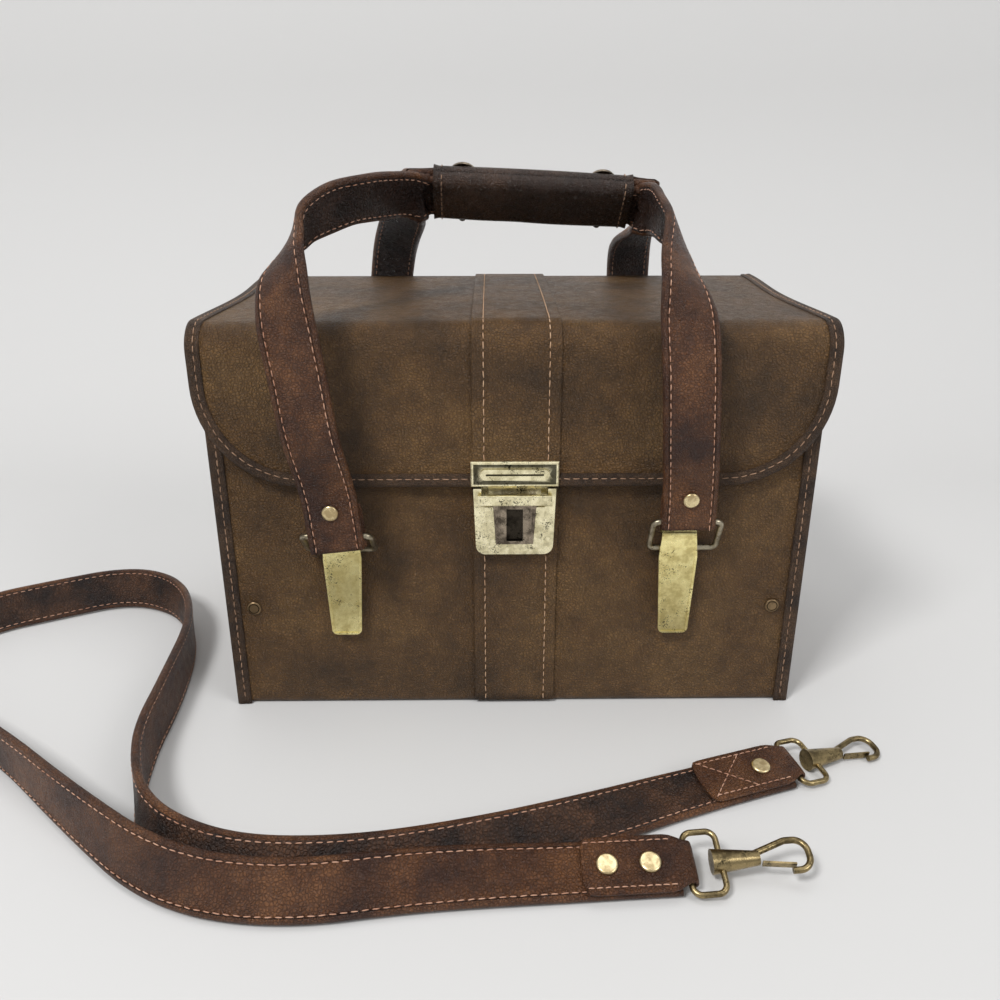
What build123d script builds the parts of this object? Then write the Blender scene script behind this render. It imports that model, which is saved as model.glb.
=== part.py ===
from build123d import *
import math
import os

# Camera case: a boxy vinyl case with a flap lid, a tuck lock, two carrying straps
# held together by a grip, and a loose shoulder strap that lies on the table.
# Millimetres. +X to the right, -Y to the front, +Z up. The origin is the middle of
# the case's footprint, on the table.

os.makedirs("parts", exist_ok=True)

# Case body
case_width = 300.0
case_depth = 162.0
panel = 3.0
front_wall_drop = 36.0
foot_radius = 4.0
shoulder_radius = 12.0
edge_binding_width = 6.5
edge_binding_thick = 1.0
edge_binding_top_gap = 2.2
lining_thick = 0.8
lining_drop = 1.0
floor_pad_thick = 8.0
divider_thick = 8.0
divider_gap = 22.0
divider_left_x = -48.0
divider_right_x = 52.0
stud_x = 136.3
stud_z = 59.0
stud_radius = 3.8
stud_groove_inner = 2.3
stud_groove_outer = 2.8
stud_groove_depth = 0.5

# Lid
lid_top_height = 208.0
lid_overhang = 3.5
lid_board = 2.2
lid_lining_thick = 0.8
flap_bottom = 129.0
flap_gap = 0.5
flap_corner_radius = 50.0
lid_radius = 13.0
lid_binding_width = 6.0
lid_binding_thick = 0.8
lid_seat_gap = 0.6
lid_back_overhang = 0.5
hinge_clearance = 0.4
hinge_strip_drop = 30.0
hinge_strip_thick = 1.0
hinge_strip_side_gap = 1.0

# Centre bands
band_width = 43.0
band_thick = 1.2

# Tuck lock
lock_width_top = 41.0
lock_width_bottom = 38.6
lock_gap = 1.2
lock_height = 35.4
lock_depth = 5.5
lock_wall = 1.0
lock_corner_radius = 5.0
lock_slot_half = 16.5
lock_slot_height = 9.4
lock_rivet_radius = 1.9
lock_rivet_head = 0.8
lock_rivet_inset = 5.0
lock_rivet_drop = 14.0
frame_width_top = 30.0
frame_width_bottom = 26.5
frame_rise = 1.0
frame_margin = 2.1
button_width = 21.2
button_width_bottom = 18.4
button_height = 20.6
button_inset = 6.3
button_gap = 0.2
button_proud = 0.7
button_flange = 1.1
button_flange_margin = 1.5
button_flange_rise = 1.0
button_rib = 1.7
button_groove = 0.8
button_dish_shallow = 0.4
button_dish_deep = 1.4
catch_half = 8.0
catch_gap = 1.0
catch_height = 1.0
bar_height = 5.4
bar_drop = 8.0
bar_depth = 2.0
bar_foot_width = 1.8
bar_gap = 0.5
bar_edge_radius = 0.7
hasp_width = 43.3
hasp_height = 13.0
hasp_thick = 1.7
hasp_rib_length = 34.0
hasp_rib_height = 5.6
hasp_rib_rise = 0.8
hasp_rim = 1.3
hasp_pocket = 0.4
hasp_rivet_outset = 2.4
hasp_groove_half = 0.5
hasp_groove_depth = 1.1
tongue_width = 26.0
tongue_thick = 1.0
tongue_inset = 1.2
tongue_overlap = 0.5
tongue_tip_gap = 0.13
spring_radius = 5.0
spring_hole = 3.0
spring_thick = 0.3

# Drop hooks for the carrying straps
hook_left_x = -87.5
hook_right_x = 83.5
hook_rear_x = 85.5
hook_metal = 1.0
hook_length = 55.6
hook_shoulder_drop = 11.6
hook_bend_height = 101.6
hook_width_top = 17.5
hook_width_wide = 19.6
hook_width_bottom = 15.2
hook_base_length = 45.6
hook_base_width = 12.0
hook_corner = 3.0
hook_rivet_low = 6.0
hook_rivet_high = 20.0
hook_rivet_radius = 2.6
hook_rivet_head = 0.8
hook_rim = 1.2
hook_rim_rise = 0.4

# Rings
ring_wire = 3.0
ring_inner_width = 31.0
ring_inner_height = 17.5
ring_corner = 3.2
ring_pivot_drop = 7.6
ring_play = 0.15
ring_right_x = 85.5
ring_tilt_left = 48.0
ring_tilt_right = 28.0
ring_tilt_rear = 28.0

# Carrying straps
handle_strap_width = 27.0
handle_strap_thick = 4.0
strap_eye_wall = 1.9
strap_fold = 1.2
strap_rivet_rise = 12.0
strap_rivet_lift = 0.15
strap_rivet_depth = 5.0
grip_left_x = -41.0
grip_right_x = 62.0
grip_rise = 54.3
grip_slope = 0.05
grip_tilt = 45.0
grip_wall = 2.2
grip_corner = 4.2
grip_fit = 0.15
grip_split = 0.5
snap_cap_radius = 7.2
snap_cap_height = 2.2
snap_stud_radius = 1.8
snap_cap_inset = 15.0
snap_cap_edge_gap = 4.5
snap_stud_height = 0.8

# D-rings on the ends
d_ring_height = 158.0
d_ring_length = 28.0
d_ring_drop = 19.0
d_ring_wire = 3.0
d_ring_corner = 2.5
d_ring_round = 12.0
chape_width = 22.0
chape_length = 42.0
chape_thick = 2.4
chape_eye_radius = 4.0
chape_rivet_upper = 26.0
chape_rivet_lower = 36.0
chape_rivet_radius = 3.2
chape_rivet_head = 1.0

# Shoulder strap and its snap hooks
shoulder_width = 25.0
shoulder_thick = 4.0
floor_gap = 0.2
fold_length_a = 45.0
fold_length_b = 50.0
fold_thick = 2.4
fold_eye_width = 18.4
fold_eye_radius = 3.4
fold_layer_gap = 0.4
fold_eye_gap = 0.6
fold_eye_lift = 0.1
fold_notch = 5.5
fold_rivet_extra = 0.6
snap_loop_wire = 2.6
snap_loop_height = 27.0
snap_loop_depth = 14.0
snap_loop_corner = 4.0
snap_sleeve_start = 10.0
snap_sleeve_end = 30.0
snap_sleeve_wide = 5.2
snap_sleeve_narrow = 2.9
snap_wire = 2.8
snap_reach = 51.0
snap_half_gap = 6.5
snap_wire_rise = 1.2
snap_neck = 9.0
snap_lip = 8.5
snap_bend = 5.5
snap_neck_bend = 6.0
gate_root_gap = 0.9
gate_tip_gap = 0.35
gate_tip_inset = 6.5
gate_thick = 0.8
gate_width = 3.4

rivet_head_radius = 4.0
rivet_head_height = 1.2
rivet_shaft_radius = 1.5
rivet_fit = 0.05
rivet_end_gap = 0.1
running_fit = 0.05

# Places worked out from the sizes above
half_width = case_width / 2
half_depth = case_depth / 2
front_face = -half_depth
wrap_half = half_width - panel
flap_inner = front_face - edge_binding_thick - flap_gap
flap_outer = flap_inner - lid_lining_thick - lid_board
lid_half = half_width + lid_overhang
lid_inner_height = lid_top_height - lid_board - lid_lining_thick
lid_back = half_depth + lid_back_overhang
hinge_y = half_depth + hinge_strip_thick
hinge_z = lid_inner_height - hinge_clearance
end_height = lid_inner_height - lid_seat_gap
front_wall_height = lid_top_height - front_wall_drop
band_face = front_face - band_thick
lock_top = flap_bottom - lock_gap
lock_bottom = lock_top - lock_height
button_bottom = lock_bottom + button_inset
bar_bottom = lock_top - bar_drop
lock_face = band_face - lock_depth
catch_top = button_bottom + button_height + catch_gap + catch_height
hook_gap = ring_wire + 2 * ring_play
hook_bottom = hook_bend_height - hook_length
hook_shoulder = hook_bend_height - hook_shoulder_drop
hook_base_bottom = hook_bend_height - hook_base_length
ring_pivot_height = hook_bend_height - ring_pivot_drop
pivot_y = half_depth + hook_metal + hook_gap / 2
ring_rise = ring_inner_height + ring_wire
grip_length = grip_right_x - grip_left_x


def box(x0, x1, y0, y1, z0, z1):
    """A block between two corners."""
    block = Box(x1 - x0, y1 - y0, z1 - z0)
    return Pos((x0 + x1) / 2, (y0 + y1) / 2, (z0 + z1) / 2) * block


def save(name, shape):
    export_step(shape, "parts/" + name + ".step")


def group(pieces):
    """Separate solids that share one node."""
    return Compound(children=list(pieces))


def mirror_depth(shape):
    """The same piece on the rear side of the case."""
    return mirror(shape, about=Plane.XZ)


def edge_along_x(shape, y_sign, z_sign):
    """The edge along X that is furthest towards the given corner."""
    edges = shape.edges().filter_by(Axis.X)
    return edges.sort_by(lambda e: y_sign * e.center().Y + z_sign * e.center().Z)[-1]


def rivet(place, head_radius, head_height, shaft_length):
    """A domed rivet: the head stands on the place's plane, the shaft goes below it."""
    head = Pos(0, 0, head_height / 2) * Cylinder(head_radius, head_height)
    rim = head.edges().sort_by(Axis.Z)[-1]
    head = fillet(rim, head_height * 0.8)
    shaft = Pos(0, 0, -shaft_length / 2) * Cylinder(rivet_shaft_radius, shaft_length)
    return place * (head + shaft)


def rivet_hole(place, depth):
    """The hole that such a rivet's shaft runs in."""
    radius = rivet_shaft_radius + rivet_fit
    return place * (Pos(0, 0, -depth / 2) * Cylinder(radius, depth + 0.2))


def front_place(x, y, z):
    """A plane that faces the front."""
    return Plane(origin=(x, y, z), x_dir=(1, 0, 0), z_dir=(0, -1, 0))


def rear_place(x, y, z):
    """A plane that faces the rear."""
    return Plane(origin=(x, y, z), x_dir=(-1, 0, 0), z_dir=(0, 1, 0))


def trapezoid(width_bottom, width_top, z0, z1, y_back, y_front):
    """A prism in the front view, from y_back forward to y_front."""
    corners = [
        (-width_bottom / 2, z0),
        (width_bottom / 2, z0),
        (width_top / 2, z1),
        (-width_top / 2, z1),
    ]
    face = front_place(0, y_back, 0) * make_face(Polyline(*corners, close=True))
    return extrude(face, y_back - y_front, dir=(0, -1, 0))


# Case body

def hook_places():
    """Middle of each hook and the side it stands on: -1 front, +1 rear."""
    return {
        "front_hook_left": (hook_left_x, -1),
        "front_hook_right": (hook_right_x, -1),
        "rear_hook_left": (-hook_rear_x, 1),
        "rear_hook_right": (hook_rear_x, 1),
    }


def hook_rivet_places(offset):
    """Planes of the two rivets of each hook, offset outwards from the case."""
    places = []
    for x, side in hook_places().values():
        for z in (hook_base_bottom + hook_rivet_low, hook_base_bottom + hook_rivet_high):
            y = side * (half_depth + offset)
            place = rear_place(x, y, z) if side > 0 else front_place(x, y, z)
            places.append(place)
    return places


def stud_places():
    places = []
    for x in (-stud_x, stud_x):
        places.append(front_place(x, front_face, stud_z))
        places.append(rear_place(x, half_depth, stud_z))
    return places


def lock_rivet_places():
    """Four rivets that hold the lock's case to the front wall."""
    places = []
    reach = lock_width_bottom / 2 - lock_rivet_inset
    for x in (-reach, reach):
        for z in (lock_bottom + lock_rivet_inset, lock_top - lock_rivet_drop):
            places.append(front_place(x, band_face - lock_wall, z))
    return places


def make_body_wrap():
    outer = box(-wrap_half, wrap_half, -half_depth, half_depth, 0, end_height)
    outer = fillet([edge_along_x(outer, -1, -1), edge_along_x(outer, 1, -1)], foot_radius)
    inside = half_depth - panel
    hollow = box(-half_width, half_width, -inside, inside, panel, end_height + 1)
    low_front = box(-half_width, half_width, -half_depth - 1, 0, front_wall_height, end_height + 1)
    wrap = outer - hollow - low_front
    for place in hook_rivet_places(0) + stud_places():
        wrap = wrap - rivet_hole(place, panel)
    for place in lock_rivet_places():
        wrap = wrap - rivet_hole(place, panel + band_thick + lock_wall)
    return wrap


def end_profile(x0, x1, grow):
    """A block shaped like an end panel's outline, grown outwards all round."""
    low = 0 if grow == 0 else -grow
    block = box(x0, x1, -half_depth - grow, half_depth + grow, low, end_height)
    feet = [edge_along_x(block, -1, -1), edge_along_x(block, 1, -1)]
    block = fillet(feet, foot_radius + grow)
    return fillet(edge_along_x(block, -1, 1), shoulder_radius + grow)


def chape_rivet_places(side, offset):
    """Two rivets under the D-ring, on the end panel of that side."""
    places = []
    for z in (d_ring_height - chape_rivet_upper, d_ring_height - chape_rivet_lower):
        origin = (side * (half_width + offset), 0, z)
        places.append(Plane(origin=origin, x_dir=(0, side, 0), z_dir=(side, 0, 0)))
    return places


def make_end_panel(side):
    panel_block = end_profile(wrap_half, half_width, 0)
    if side < 0:
        panel_block = mirror(panel_block, about=Plane.YZ)
    for place in chape_rivet_places(side, 0):
        panel_block = panel_block - rivet_hole(place, panel)
    return panel_block


def make_end_binding(side):
    """The stitched strip folded over the front, bottom and rear edge of an end."""
    thick = edge_binding_thick
    fold = end_profile(half_width - edge_binding_width + thick, half_width + thick, thick)
    core = end_profile(0, half_width, 0)
    window = box(
        half_width - 1,
        half_width + 2,
        -half_depth + edge_binding_width,
        half_depth - edge_binding_width,
        edge_binding_width,
        end_height + 1,
    )
    above = box(0, half_width + 2, -half_depth - 2, half_depth + 2, end_height - edge_binding_top_gap, end_height + 2)
    below = box(0, half_width + 2, -half_depth - 2, half_depth + 2, -2, 0)
    binding = fold - core - window - above - below
    if side < 0:
        binding = mirror(binding, about=Plane.YZ)
    return binding


def make_front_band():
    half = band_width / 2
    band = box(-half, half, band_face, front_face, foot_radius, front_wall_height)
    for place in lock_rivet_places():
        band = band - rivet_hole(place, panel + band_thick + lock_wall)
    return band


def make_lining():
    side = wrap_half
    depth = half_depth - panel
    top = front_wall_height - lining_drop
    outer = box(-side, side, -depth, depth, panel, top)
    inner = box(
        -side + lining_thick,
        side - lining_thick,
        -depth + lining_thick,
        depth - lining_thick,
        panel + lining_thick,
        top + 1,
    )
    return outer - inner


def inner_half_depth():
    return half_depth - panel - lining_thick


def floor_pad_top():
    return panel + lining_thick + floor_pad_thick


def make_floor_pad():
    side = wrap_half - lining_thick
    depth = inner_half_depth()
    return box(-side, side, -depth, depth, panel + lining_thick, floor_pad_top())


def make_divider(x):
    half = divider_thick / 2
    depth = inner_half_depth()
    wall = box(x - half, x + half, -depth, depth, floor_pad_top(), front_wall_height - divider_gap)
    return fillet(wall.edges().filter_by(Axis.Y).group_by(Axis.Z)[-1], half * 0.8)


def make_hinge_strip():
    """The vinyl leaf of the lid's hinge, sewn to the back wall."""
    top = hinge_z - hinge_clearance
    half = half_width - edge_binding_width - hinge_strip_side_gap
    return box(-half, half, half_depth, half_depth + hinge_strip_thick, top - hinge_strip_drop, top)


def make_corner_studs():
    """Studs with a sunk ring round a flat middle."""
    groove = Cylinder(stud_groove_outer, 2 * stud_groove_depth)
    groove = groove - Cylinder(stud_groove_inner, 2 * stud_groove_depth)
    groove = Pos(0, 0, rivet_head_height) * groove
    studs = []
    for place in stud_places():
        stud = rivet(place, stud_radius, rivet_head_height, panel - rivet_end_gap)
        studs.append(stud - place * groove)
    return group(studs)


# Lid

def lid_block(offset, bottom, back, half):
    """A block whose front and top lie at that offset outside the lid's board."""
    block = box(-half, half, flap_outer - offset, back, bottom, lid_top_height + offset)
    return fillet(edge_along_x(block, -1, 1), lid_radius + offset)


def lid_outline(inset):
    """The flap's front view with its round corners, as a prism through the lid."""
    half = lid_half - inset
    block = box(-half, half, flap_outer - 10, lid_back, flap_bottom + inset, lid_top_height + 10)
    corners = block.edges().filter_by(Axis.Y).group_by(Axis.Z)[0]
    return fillet(corners, flap_corner_radius - inset)


def lid_skin(outside, inside, inset):
    """A layer of the lid between two offsets from its outer face."""
    outer = lid_block(outside, flap_bottom, lid_back, lid_half)
    inner = lid_block(inside, flap_bottom - 1, lid_back + 1, lid_half + 1)
    return (outer - inner) & lid_outline(inset)


def hasp_rivet_places():
    z = flap_bottom + hasp_height / 2
    y = flap_outer - band_thick
    x = hasp_rib_length / 2 + hasp_rivet_outset
    return [front_place(-x, y, z), front_place(x, y, z)]


def make_lid_shell():
    shell = lid_skin(0, -lid_board, 0)
    for place in hasp_rivet_places():
        shell = shell - rivet_hole(place, lid_board + band_thick)
    return shell


def make_lid_binding():
    binding = lid_skin(lid_binding_thick, 0, 0) - lid_outline(lid_binding_width)
    for place in hasp_rivet_places():
        binding = binding - rivet_hole(place, lid_board + band_thick)
    return binding


def make_lid_band():
    half = band_width / 2
    low = flap_bottom + lid_binding_width
    keep = box(-half, half, flap_outer - 10, lid_back, low, lid_top_height + 10)
    band = lid_skin(band_thick, 0, 0) & keep
    for place in hasp_rivet_places():
        band = band - rivet_hole(place, lid_board + band_thick)
    return band


def make_lid_lining():
    return lid_skin(-lid_board, -lid_board - lid_lining_thick, lid_binding_width)


# Tuck lock

def make_lock_base():
    """The lower half of the lock: a shallow case, open at the top for the tongue."""
    outer = trapezoid(lock_width_bottom, lock_width_top, lock_bottom, lock_top, band_face, lock_face)
    outer = fillet(outer.edges().filter_by(Axis.Y).group_by(Axis.Z)[0], lock_corner_radius)
    inside_bottom = lock_width_bottom - 4 * lock_wall
    cavity = trapezoid(
        inside_bottom,
        inside_bottom,
        lock_bottom + 2 * lock_wall,
        lock_top - lock_wall,
        band_face - lock_wall,
        lock_face + lock_wall,
    )
    frame = trapezoid(
        frame_width_bottom,
        frame_width_top,
        button_bottom - frame_margin,
        lock_top - lock_slot_height,
        lock_face,
        lock_face - frame_rise,
    )
    slot = box(
        -lock_slot_half,
        lock_slot_half,
        lock_face - 1,
        band_face - lock_wall,
        lock_top - lock_slot_height,
        lock_top + 1,
    )
    window = button_prism(button_gap, band_face - lock_wall, lock_face - frame_rise - 1)
    base = outer + frame - cavity - slot - window
    for place in lock_rivet_places():
        base = base - rivet_hole(place, lock_wall)
    return base


def button_prism(grow, y_back, y_front):
    """The button's tapered front view, grown all round, from y_back forward to y_front."""
    return trapezoid(
        button_width_bottom + 2 * grow,
        button_width + 2 * grow,
        button_bottom - grow,
        button_bottom + button_height + grow,
        y_back,
        y_front,
    )


def make_lock_bar():
    """The bridge bar in front of the slot, on two feet."""
    half = lock_slot_half + bar_foot_width
    inner_face = lock_face - frame_rise - bar_gap
    top = bar_bottom + bar_height
    bar = box(-half, half, inner_face - bar_depth, inner_face, bar_bottom, top)
    bar = fillet(bar.edges().filter_by(Axis.X), bar_edge_radius)
    left_foot = box(-half, -lock_slot_half, inner_face, lock_face, bar_bottom + 1, top - 1)
    right_foot = box(lock_slot_half, half, inner_face, lock_face, bar_bottom + 1, top - 1)
    return bar + left_foot + right_foot


def make_lock_rivets():
    depth = lock_wall + band_thick + panel - rivet_end_gap
    return group(rivet(p, lock_rivet_radius, lock_rivet_head, depth) for p in lock_rivet_places())


def button_back():
    """Y of the back of the button's flange."""
    return lock_face + lock_wall + button_gap + button_flange


def button_furrow(x, face_y):
    """A furrow down the button's face, in line with its slanting sides."""
    top = button_bottom + button_height
    low_x = x * button_width_bottom / button_width
    half = button_groove / 2
    corners = [
        (low_x - half, button_bottom - 1),
        (low_x + half, button_bottom - 1),
        (x + half, top + 1),
        (x - half, top + 1),
    ]
    face = front_place(0, face_y + button_groove, 0) * make_face(Polyline(*corners, close=True))
    return extrude(face, button_groove + 1, dir=(0, -1, 0))


def button_dish(half, face_y):
    """The hollow in the button's middle, deeper towards the bottom."""
    low = button_bottom + button_rib
    high = button_bottom + button_height - button_rib
    corners = [
        (face_y - 1, low),
        (face_y + button_dish_deep, low),
        (face_y + button_dish_shallow, high),
        (face_y - 1, high),
    ]
    face = Plane(origin=(-half, 0, 0), x_dir=(0, 1, 0), z_dir=(1, 0, 0)) * make_face(Polyline(*corners, close=True))
    return extrude(face, 2 * half, dir=(1, 0, 0))


def make_lock_button():
    """The push button: ribbed sides, a dished middle and a flange behind the window."""
    half = button_width / 2
    face_y = lock_face - frame_rise - button_proud
    button = button_prism(0, lock_face + lock_wall + button_gap, face_y)
    flange_half = half + button_flange_margin
    flange = box(
        -flange_half,
        flange_half,
        button_back() - button_flange,
        button_back(),
        button_bottom - button_flange_margin,
        button_bottom + button_height + button_flange_rise,
    )
    button = button + flange - button_dish(button_width_bottom / 2 - 3 * button_rib, face_y)
    for side in (-1, 1):
        for count in (1, 2):
            x = side * (half - count * button_rib + button_groove / 2)
            button = button - button_furrow(x, face_y)
    return button


def make_lock_catch():
    """The catch on the button's flange, just below the tongue's tip."""
    low = catch_top - catch_height
    y_front = button_back() - button_flange
    return box(-catch_half, catch_half, y_front, button_back() - button_gap, low, catch_top)


def make_lock_spring():
    """The button's flat wave spring, drawn pressed flat against the lock's back."""
    place = front_place(0, band_face - lock_wall, button_bottom + button_height / 2)
    ring = Cylinder(spring_radius, spring_thick) - Cylinder(spring_hole, spring_thick)
    return place * (Pos(0, 0, spring_thick / 2) * ring)


def make_hasp_plate():
    """A plate with a raised rim and a long grooved rib."""
    back = flap_outer - band_thick
    face = back - hasp_thick
    floor = face + hasp_pocket
    top = flap_bottom + hasp_height
    half = hasp_width / 2
    plate = box(-half, half, face, back, flap_bottom, top)
    plate = chamfer(plate.faces().sort_by(Axis.Y)[0].edges(), 0.5)
    rim = hasp_rim
    pocket = box(-half + rim, half - rim, face - 1, floor, flap_bottom + rim, top - rim)
    middle = flap_bottom + hasp_height / 2
    low = middle - hasp_rib_height / 2
    rib_half = hasp_rib_length / 2
    rib = box(-rib_half, rib_half, face - hasp_rib_rise, floor, low, low + hasp_rib_height)
    rib = fillet(rib.edges().filter_by(Axis.Y), hasp_rib_height / 2 - 0.05)
    groove_half = rib_half - hasp_rib_height / 2
    front = face - hasp_rib_rise
    groove = box(
        -groove_half,
        groove_half,
        front - 1,
        front + hasp_groove_depth,
        middle - hasp_groove_half,
        middle + hasp_groove_half,
    )
    return plate - pocket + rib - groove


def make_hasp_tongue():
    """The tongue, set along the arc that the flap's edge swings on, down to the catch."""
    top_y = flap_outer - band_thick - tongue_inset
    lean = math.atan2(hinge_z - flap_bottom, hinge_y - top_y)
    drop = flap_bottom + tongue_overlap - catch_top - tongue_tip_gap
    length = (drop - tongue_thick / 2 * math.sin(lean)) / math.cos(lean)
    tongue = Pos(0, 0, -length / 2) * Box(tongue_width, tongue_thick, length)
    tongue = Pos(0, top_y, flap_bottom + tongue_overlap) * Rot(math.degrees(lean), 0, 0) * tongue
    above = box(-hasp_width, hasp_width, top_y - 9, top_y + 9, flap_bottom, flap_bottom + 9)
    return tongue - above


def make_hasp_rivets():
    depth = band_thick + lid_board - rivet_end_gap
    return group(rivet_shaft(p, depth) for p in hasp_rivet_places())


def rivet_shaft(place, depth):
    """A headless rivet behind a plate."""
    return place * (Pos(0, 0, -depth / 2) * Cylinder(rivet_shaft_radius, depth))


# Hooks and rings

def make_hook(x, side):
    """A strip bent over at the top: base plate behind, long tongue in front."""
    back = front_face
    tongue_back = back - hook_metal - hook_gap
    tongue_front = tongue_back - hook_metal
    bend_y = (back + tongue_front) / 2
    outer_radius = (back - tongue_front) / 2
    inner_radius = outer_radius - hook_metal
    half = hook_width_top / 2
    base_half = hook_base_width / 2
    base = box(-base_half, base_half, back - hook_metal, back, hook_base_bottom, hook_bend_height)
    turn = Rot(0, 90, 0) * (Cylinder(outer_radius, 2 * half) - Cylinder(inner_radius, 2 * half))
    turn = Pos(0, bend_y, hook_bend_height) * turn
    turn = turn - box(-half, half, back - 9, back + 9, 0, hook_bend_height)
    corners = [
        (-half, hook_bend_height),
        (-hook_width_wide / 2, hook_shoulder),
        (-hook_width_bottom / 2, hook_bottom),
        (hook_width_bottom / 2, hook_bottom),
        (hook_width_wide / 2, hook_shoulder),
        (half, hook_bend_height),
    ]
    outline = front_place(0, tongue_back, 0) * make_face(Polyline(*corners, close=True))
    tongue = extrude(outline, hook_metal + hook_rim_rise, dir=(0, -1, 0))
    tongue = fillet(tongue.edges().filter_by(Axis.Y).group_by(Axis.Z)[0], hook_corner)
    rim = hook_rim
    inner = [
        (-half + rim, hook_bend_height + 1),
        (-hook_width_wide / 2 + rim, hook_shoulder),
        (-hook_width_bottom / 2 + rim, hook_bottom + rim),
        (hook_width_bottom / 2 - rim, hook_bottom + rim),
        (hook_width_wide / 2 - rim, hook_shoulder),
        (half - rim, hook_bend_height + 1),
    ]
    pocket = front_place(0, tongue_front, 0) * make_face(Polyline(*inner, close=True))
    tongue = tongue - extrude(pocket, 2, dir=(0, -1, 0))
    hook = base + turn + tongue
    for place in hook_rivet_places(hook_metal):
        if abs(place.origin.X - x) < 1 and place.origin.Y * side > 0:
            z = place.origin.Z
            hook = hook - rivet_hole(front_place(0, back - hook_metal, z), hook_metal)
    hook = Pos(x, 0, 0) * hook
    return hook if side < 0 else mirror_depth(hook)


def make_hook_rivets():
    depth = hook_metal + panel - rivet_end_gap
    places = hook_rivet_places(hook_metal)
    return group(rivet(p, hook_rivet_radius, hook_rivet_head, depth) for p in places)


def ring_top(side, tilt):
    """Centre of a ring's upper bar, as distances out of the pivot line."""
    angle = math.radians(tilt)
    y = side * (pivot_y + ring_rise * math.sin(angle))
    z = ring_pivot_height + ring_rise * math.cos(angle)
    return y, z


def make_ring(x, side, tilt):
    """A ring with its lower bar in the hook's bend."""
    y_top, z_top = ring_top(side, tilt)
    up = (0, y_top - side * pivot_y, z_top - ring_pivot_height)
    normal = Vector(1, 0, 0).cross(Vector(*up))
    place = Plane(origin=(x, side * pivot_y, ring_pivot_height), x_dir=(1, 0, 0), z_dir=normal)
    half_bar = (ring_inner_width + ring_wire) / 2
    path = FilletPolyline(
        (-half_bar, 0),
        (half_bar, 0),
        (half_bar, ring_rise),
        (-half_bar, ring_rise),
        radius=ring_corner,
        close=True,
    )
    path = place * path
    return loop_of_wire(path, ring_wire)


def loop_of_wire(path, wire):
    """A round wire along a closed path."""
    closed = Wire(path.edges())
    first = closed.edges()[0]
    section = Plane(origin=first @ 0, z_dir=first % 0) * Circle(wire / 2)
    return sweep(section, path=closed)


# Carrying straps. A station is the strap's middle (x, y, z), the way its upper or
# outer edge points, and its thickness.

def grip_axis(side):
    """Middle of a strap inside the grip: the pair lies face to face, tilted."""
    tilt = math.radians(grip_tilt)
    shift = (handle_strap_thick + grip_split) / 2 + grip_fit
    return side * shift * math.cos(tilt), side * shift * math.sin(tilt)


def grip_upwards():
    """The way the grip's upper edge leans, to the front."""
    tilt = math.radians(grip_tilt)
    return 0, -math.sin(tilt), math.cos(tilt)


def outer_edge(side):
    """The way a strap's outer edge points inside the grip: down for the front one."""
    tilt = math.radians(grip_tilt)
    return 0, -side * math.sin(tilt), side * math.cos(tilt)


def grip_height(x):
    """The grip slopes down a little to the right."""
    return lid_top_height + grip_rise - (x - grip_left_x) * grip_slope


def grip_along():
    return Vector(1, 0, -grip_slope).normalized()


def grip_end(x, side):
    """Middle of a strap inside the grip at x."""
    grip_y, grip_dz = grip_axis(side)
    return x, grip_y, grip_height(x) + grip_dz


def near_grip(x, across, rise, side):
    """A point beside the grip's end at x, further out across the case by that much."""
    end_x, end_y, end_z = grip_end(x, side)
    return end_x, end_y + side * across, end_z + rise


def over_lid(x, out, rise, side):
    """A point that far outside the wall and above the lid."""
    return x, side * (half_depth + out), lid_top_height + rise


def front_left_stations(tilt):
    x = hook_left_x
    y, z = ring_top(-1, tilt)
    thick = handle_strap_thick
    doubled = thick + strap_fold
    end = grip_left_x
    return [
        ((x, y, z + 2.0), (-1, 0, 0), doubled),
        ((x - 1.4, y - 1.0, z + 14.0), (-1, 0, 0), doubled),
        ((x - 3.2, y - 1.5, z + 27.0), (-1, 0, 0), thick),
        (over_lid(x - 7.5, 25.0, -48.0, -1), (-1, 0, 0), thick),
        (over_lid(x - 11.3, 24.0, -20.0, -1), (-1, 0, 0), thick),
        (over_lid(x - 14.3, 22.0, 0.0, -1), (-1, 0.03, 0), thick),
        (over_lid(x - 15.6, 19.5, 12.0, -1), (-0.95, 0.25, 0.05), thick),
        (over_lid(x - 16.0, 15.0, 22.3, -1), (-0.85, 0.5, 0), thick),
        (over_lid(x - 15.0, 7.5, 31.5, -1), (-0.6, 0.72, -0.3), thick),
        (over_lid(x - 12.8, 0.0, 37.5, -1), (-0.34, 0.8, -0.49), thick),
        (over_lid(x - 10.0, -6.0, 42.2, -1), (-0.11, 0.69, -0.71), thick),
        (over_lid(x - 5.5, -13.0, 46.8, -1), (-0.15, 0.52, -0.84), thick),
        (over_lid(x + 2.2, -25.0, 50.3, -1), (-0.13, 0.45, -0.88), thick),
        (near_grip(end - 32.7, 40.3, -1.2, -1), (-0.13, 0.6, -0.8), thick),
        (near_grip(end - 23.0, 24.3, -0.3, -1), (-0.1, 0.65, -0.76), thick),
        (near_grip(end - 14.5, 11.3, 0.0, -1), (-0.05, 0.69, -0.72), thick),
        (near_grip(end - 7.5, 3.5, -0.8, -1), (0, 0.7, -0.71), thick),
        (near_grip(end - 2.0, 0.0, 0.0, -1), outer_edge(-1), thick),
    ]


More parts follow.
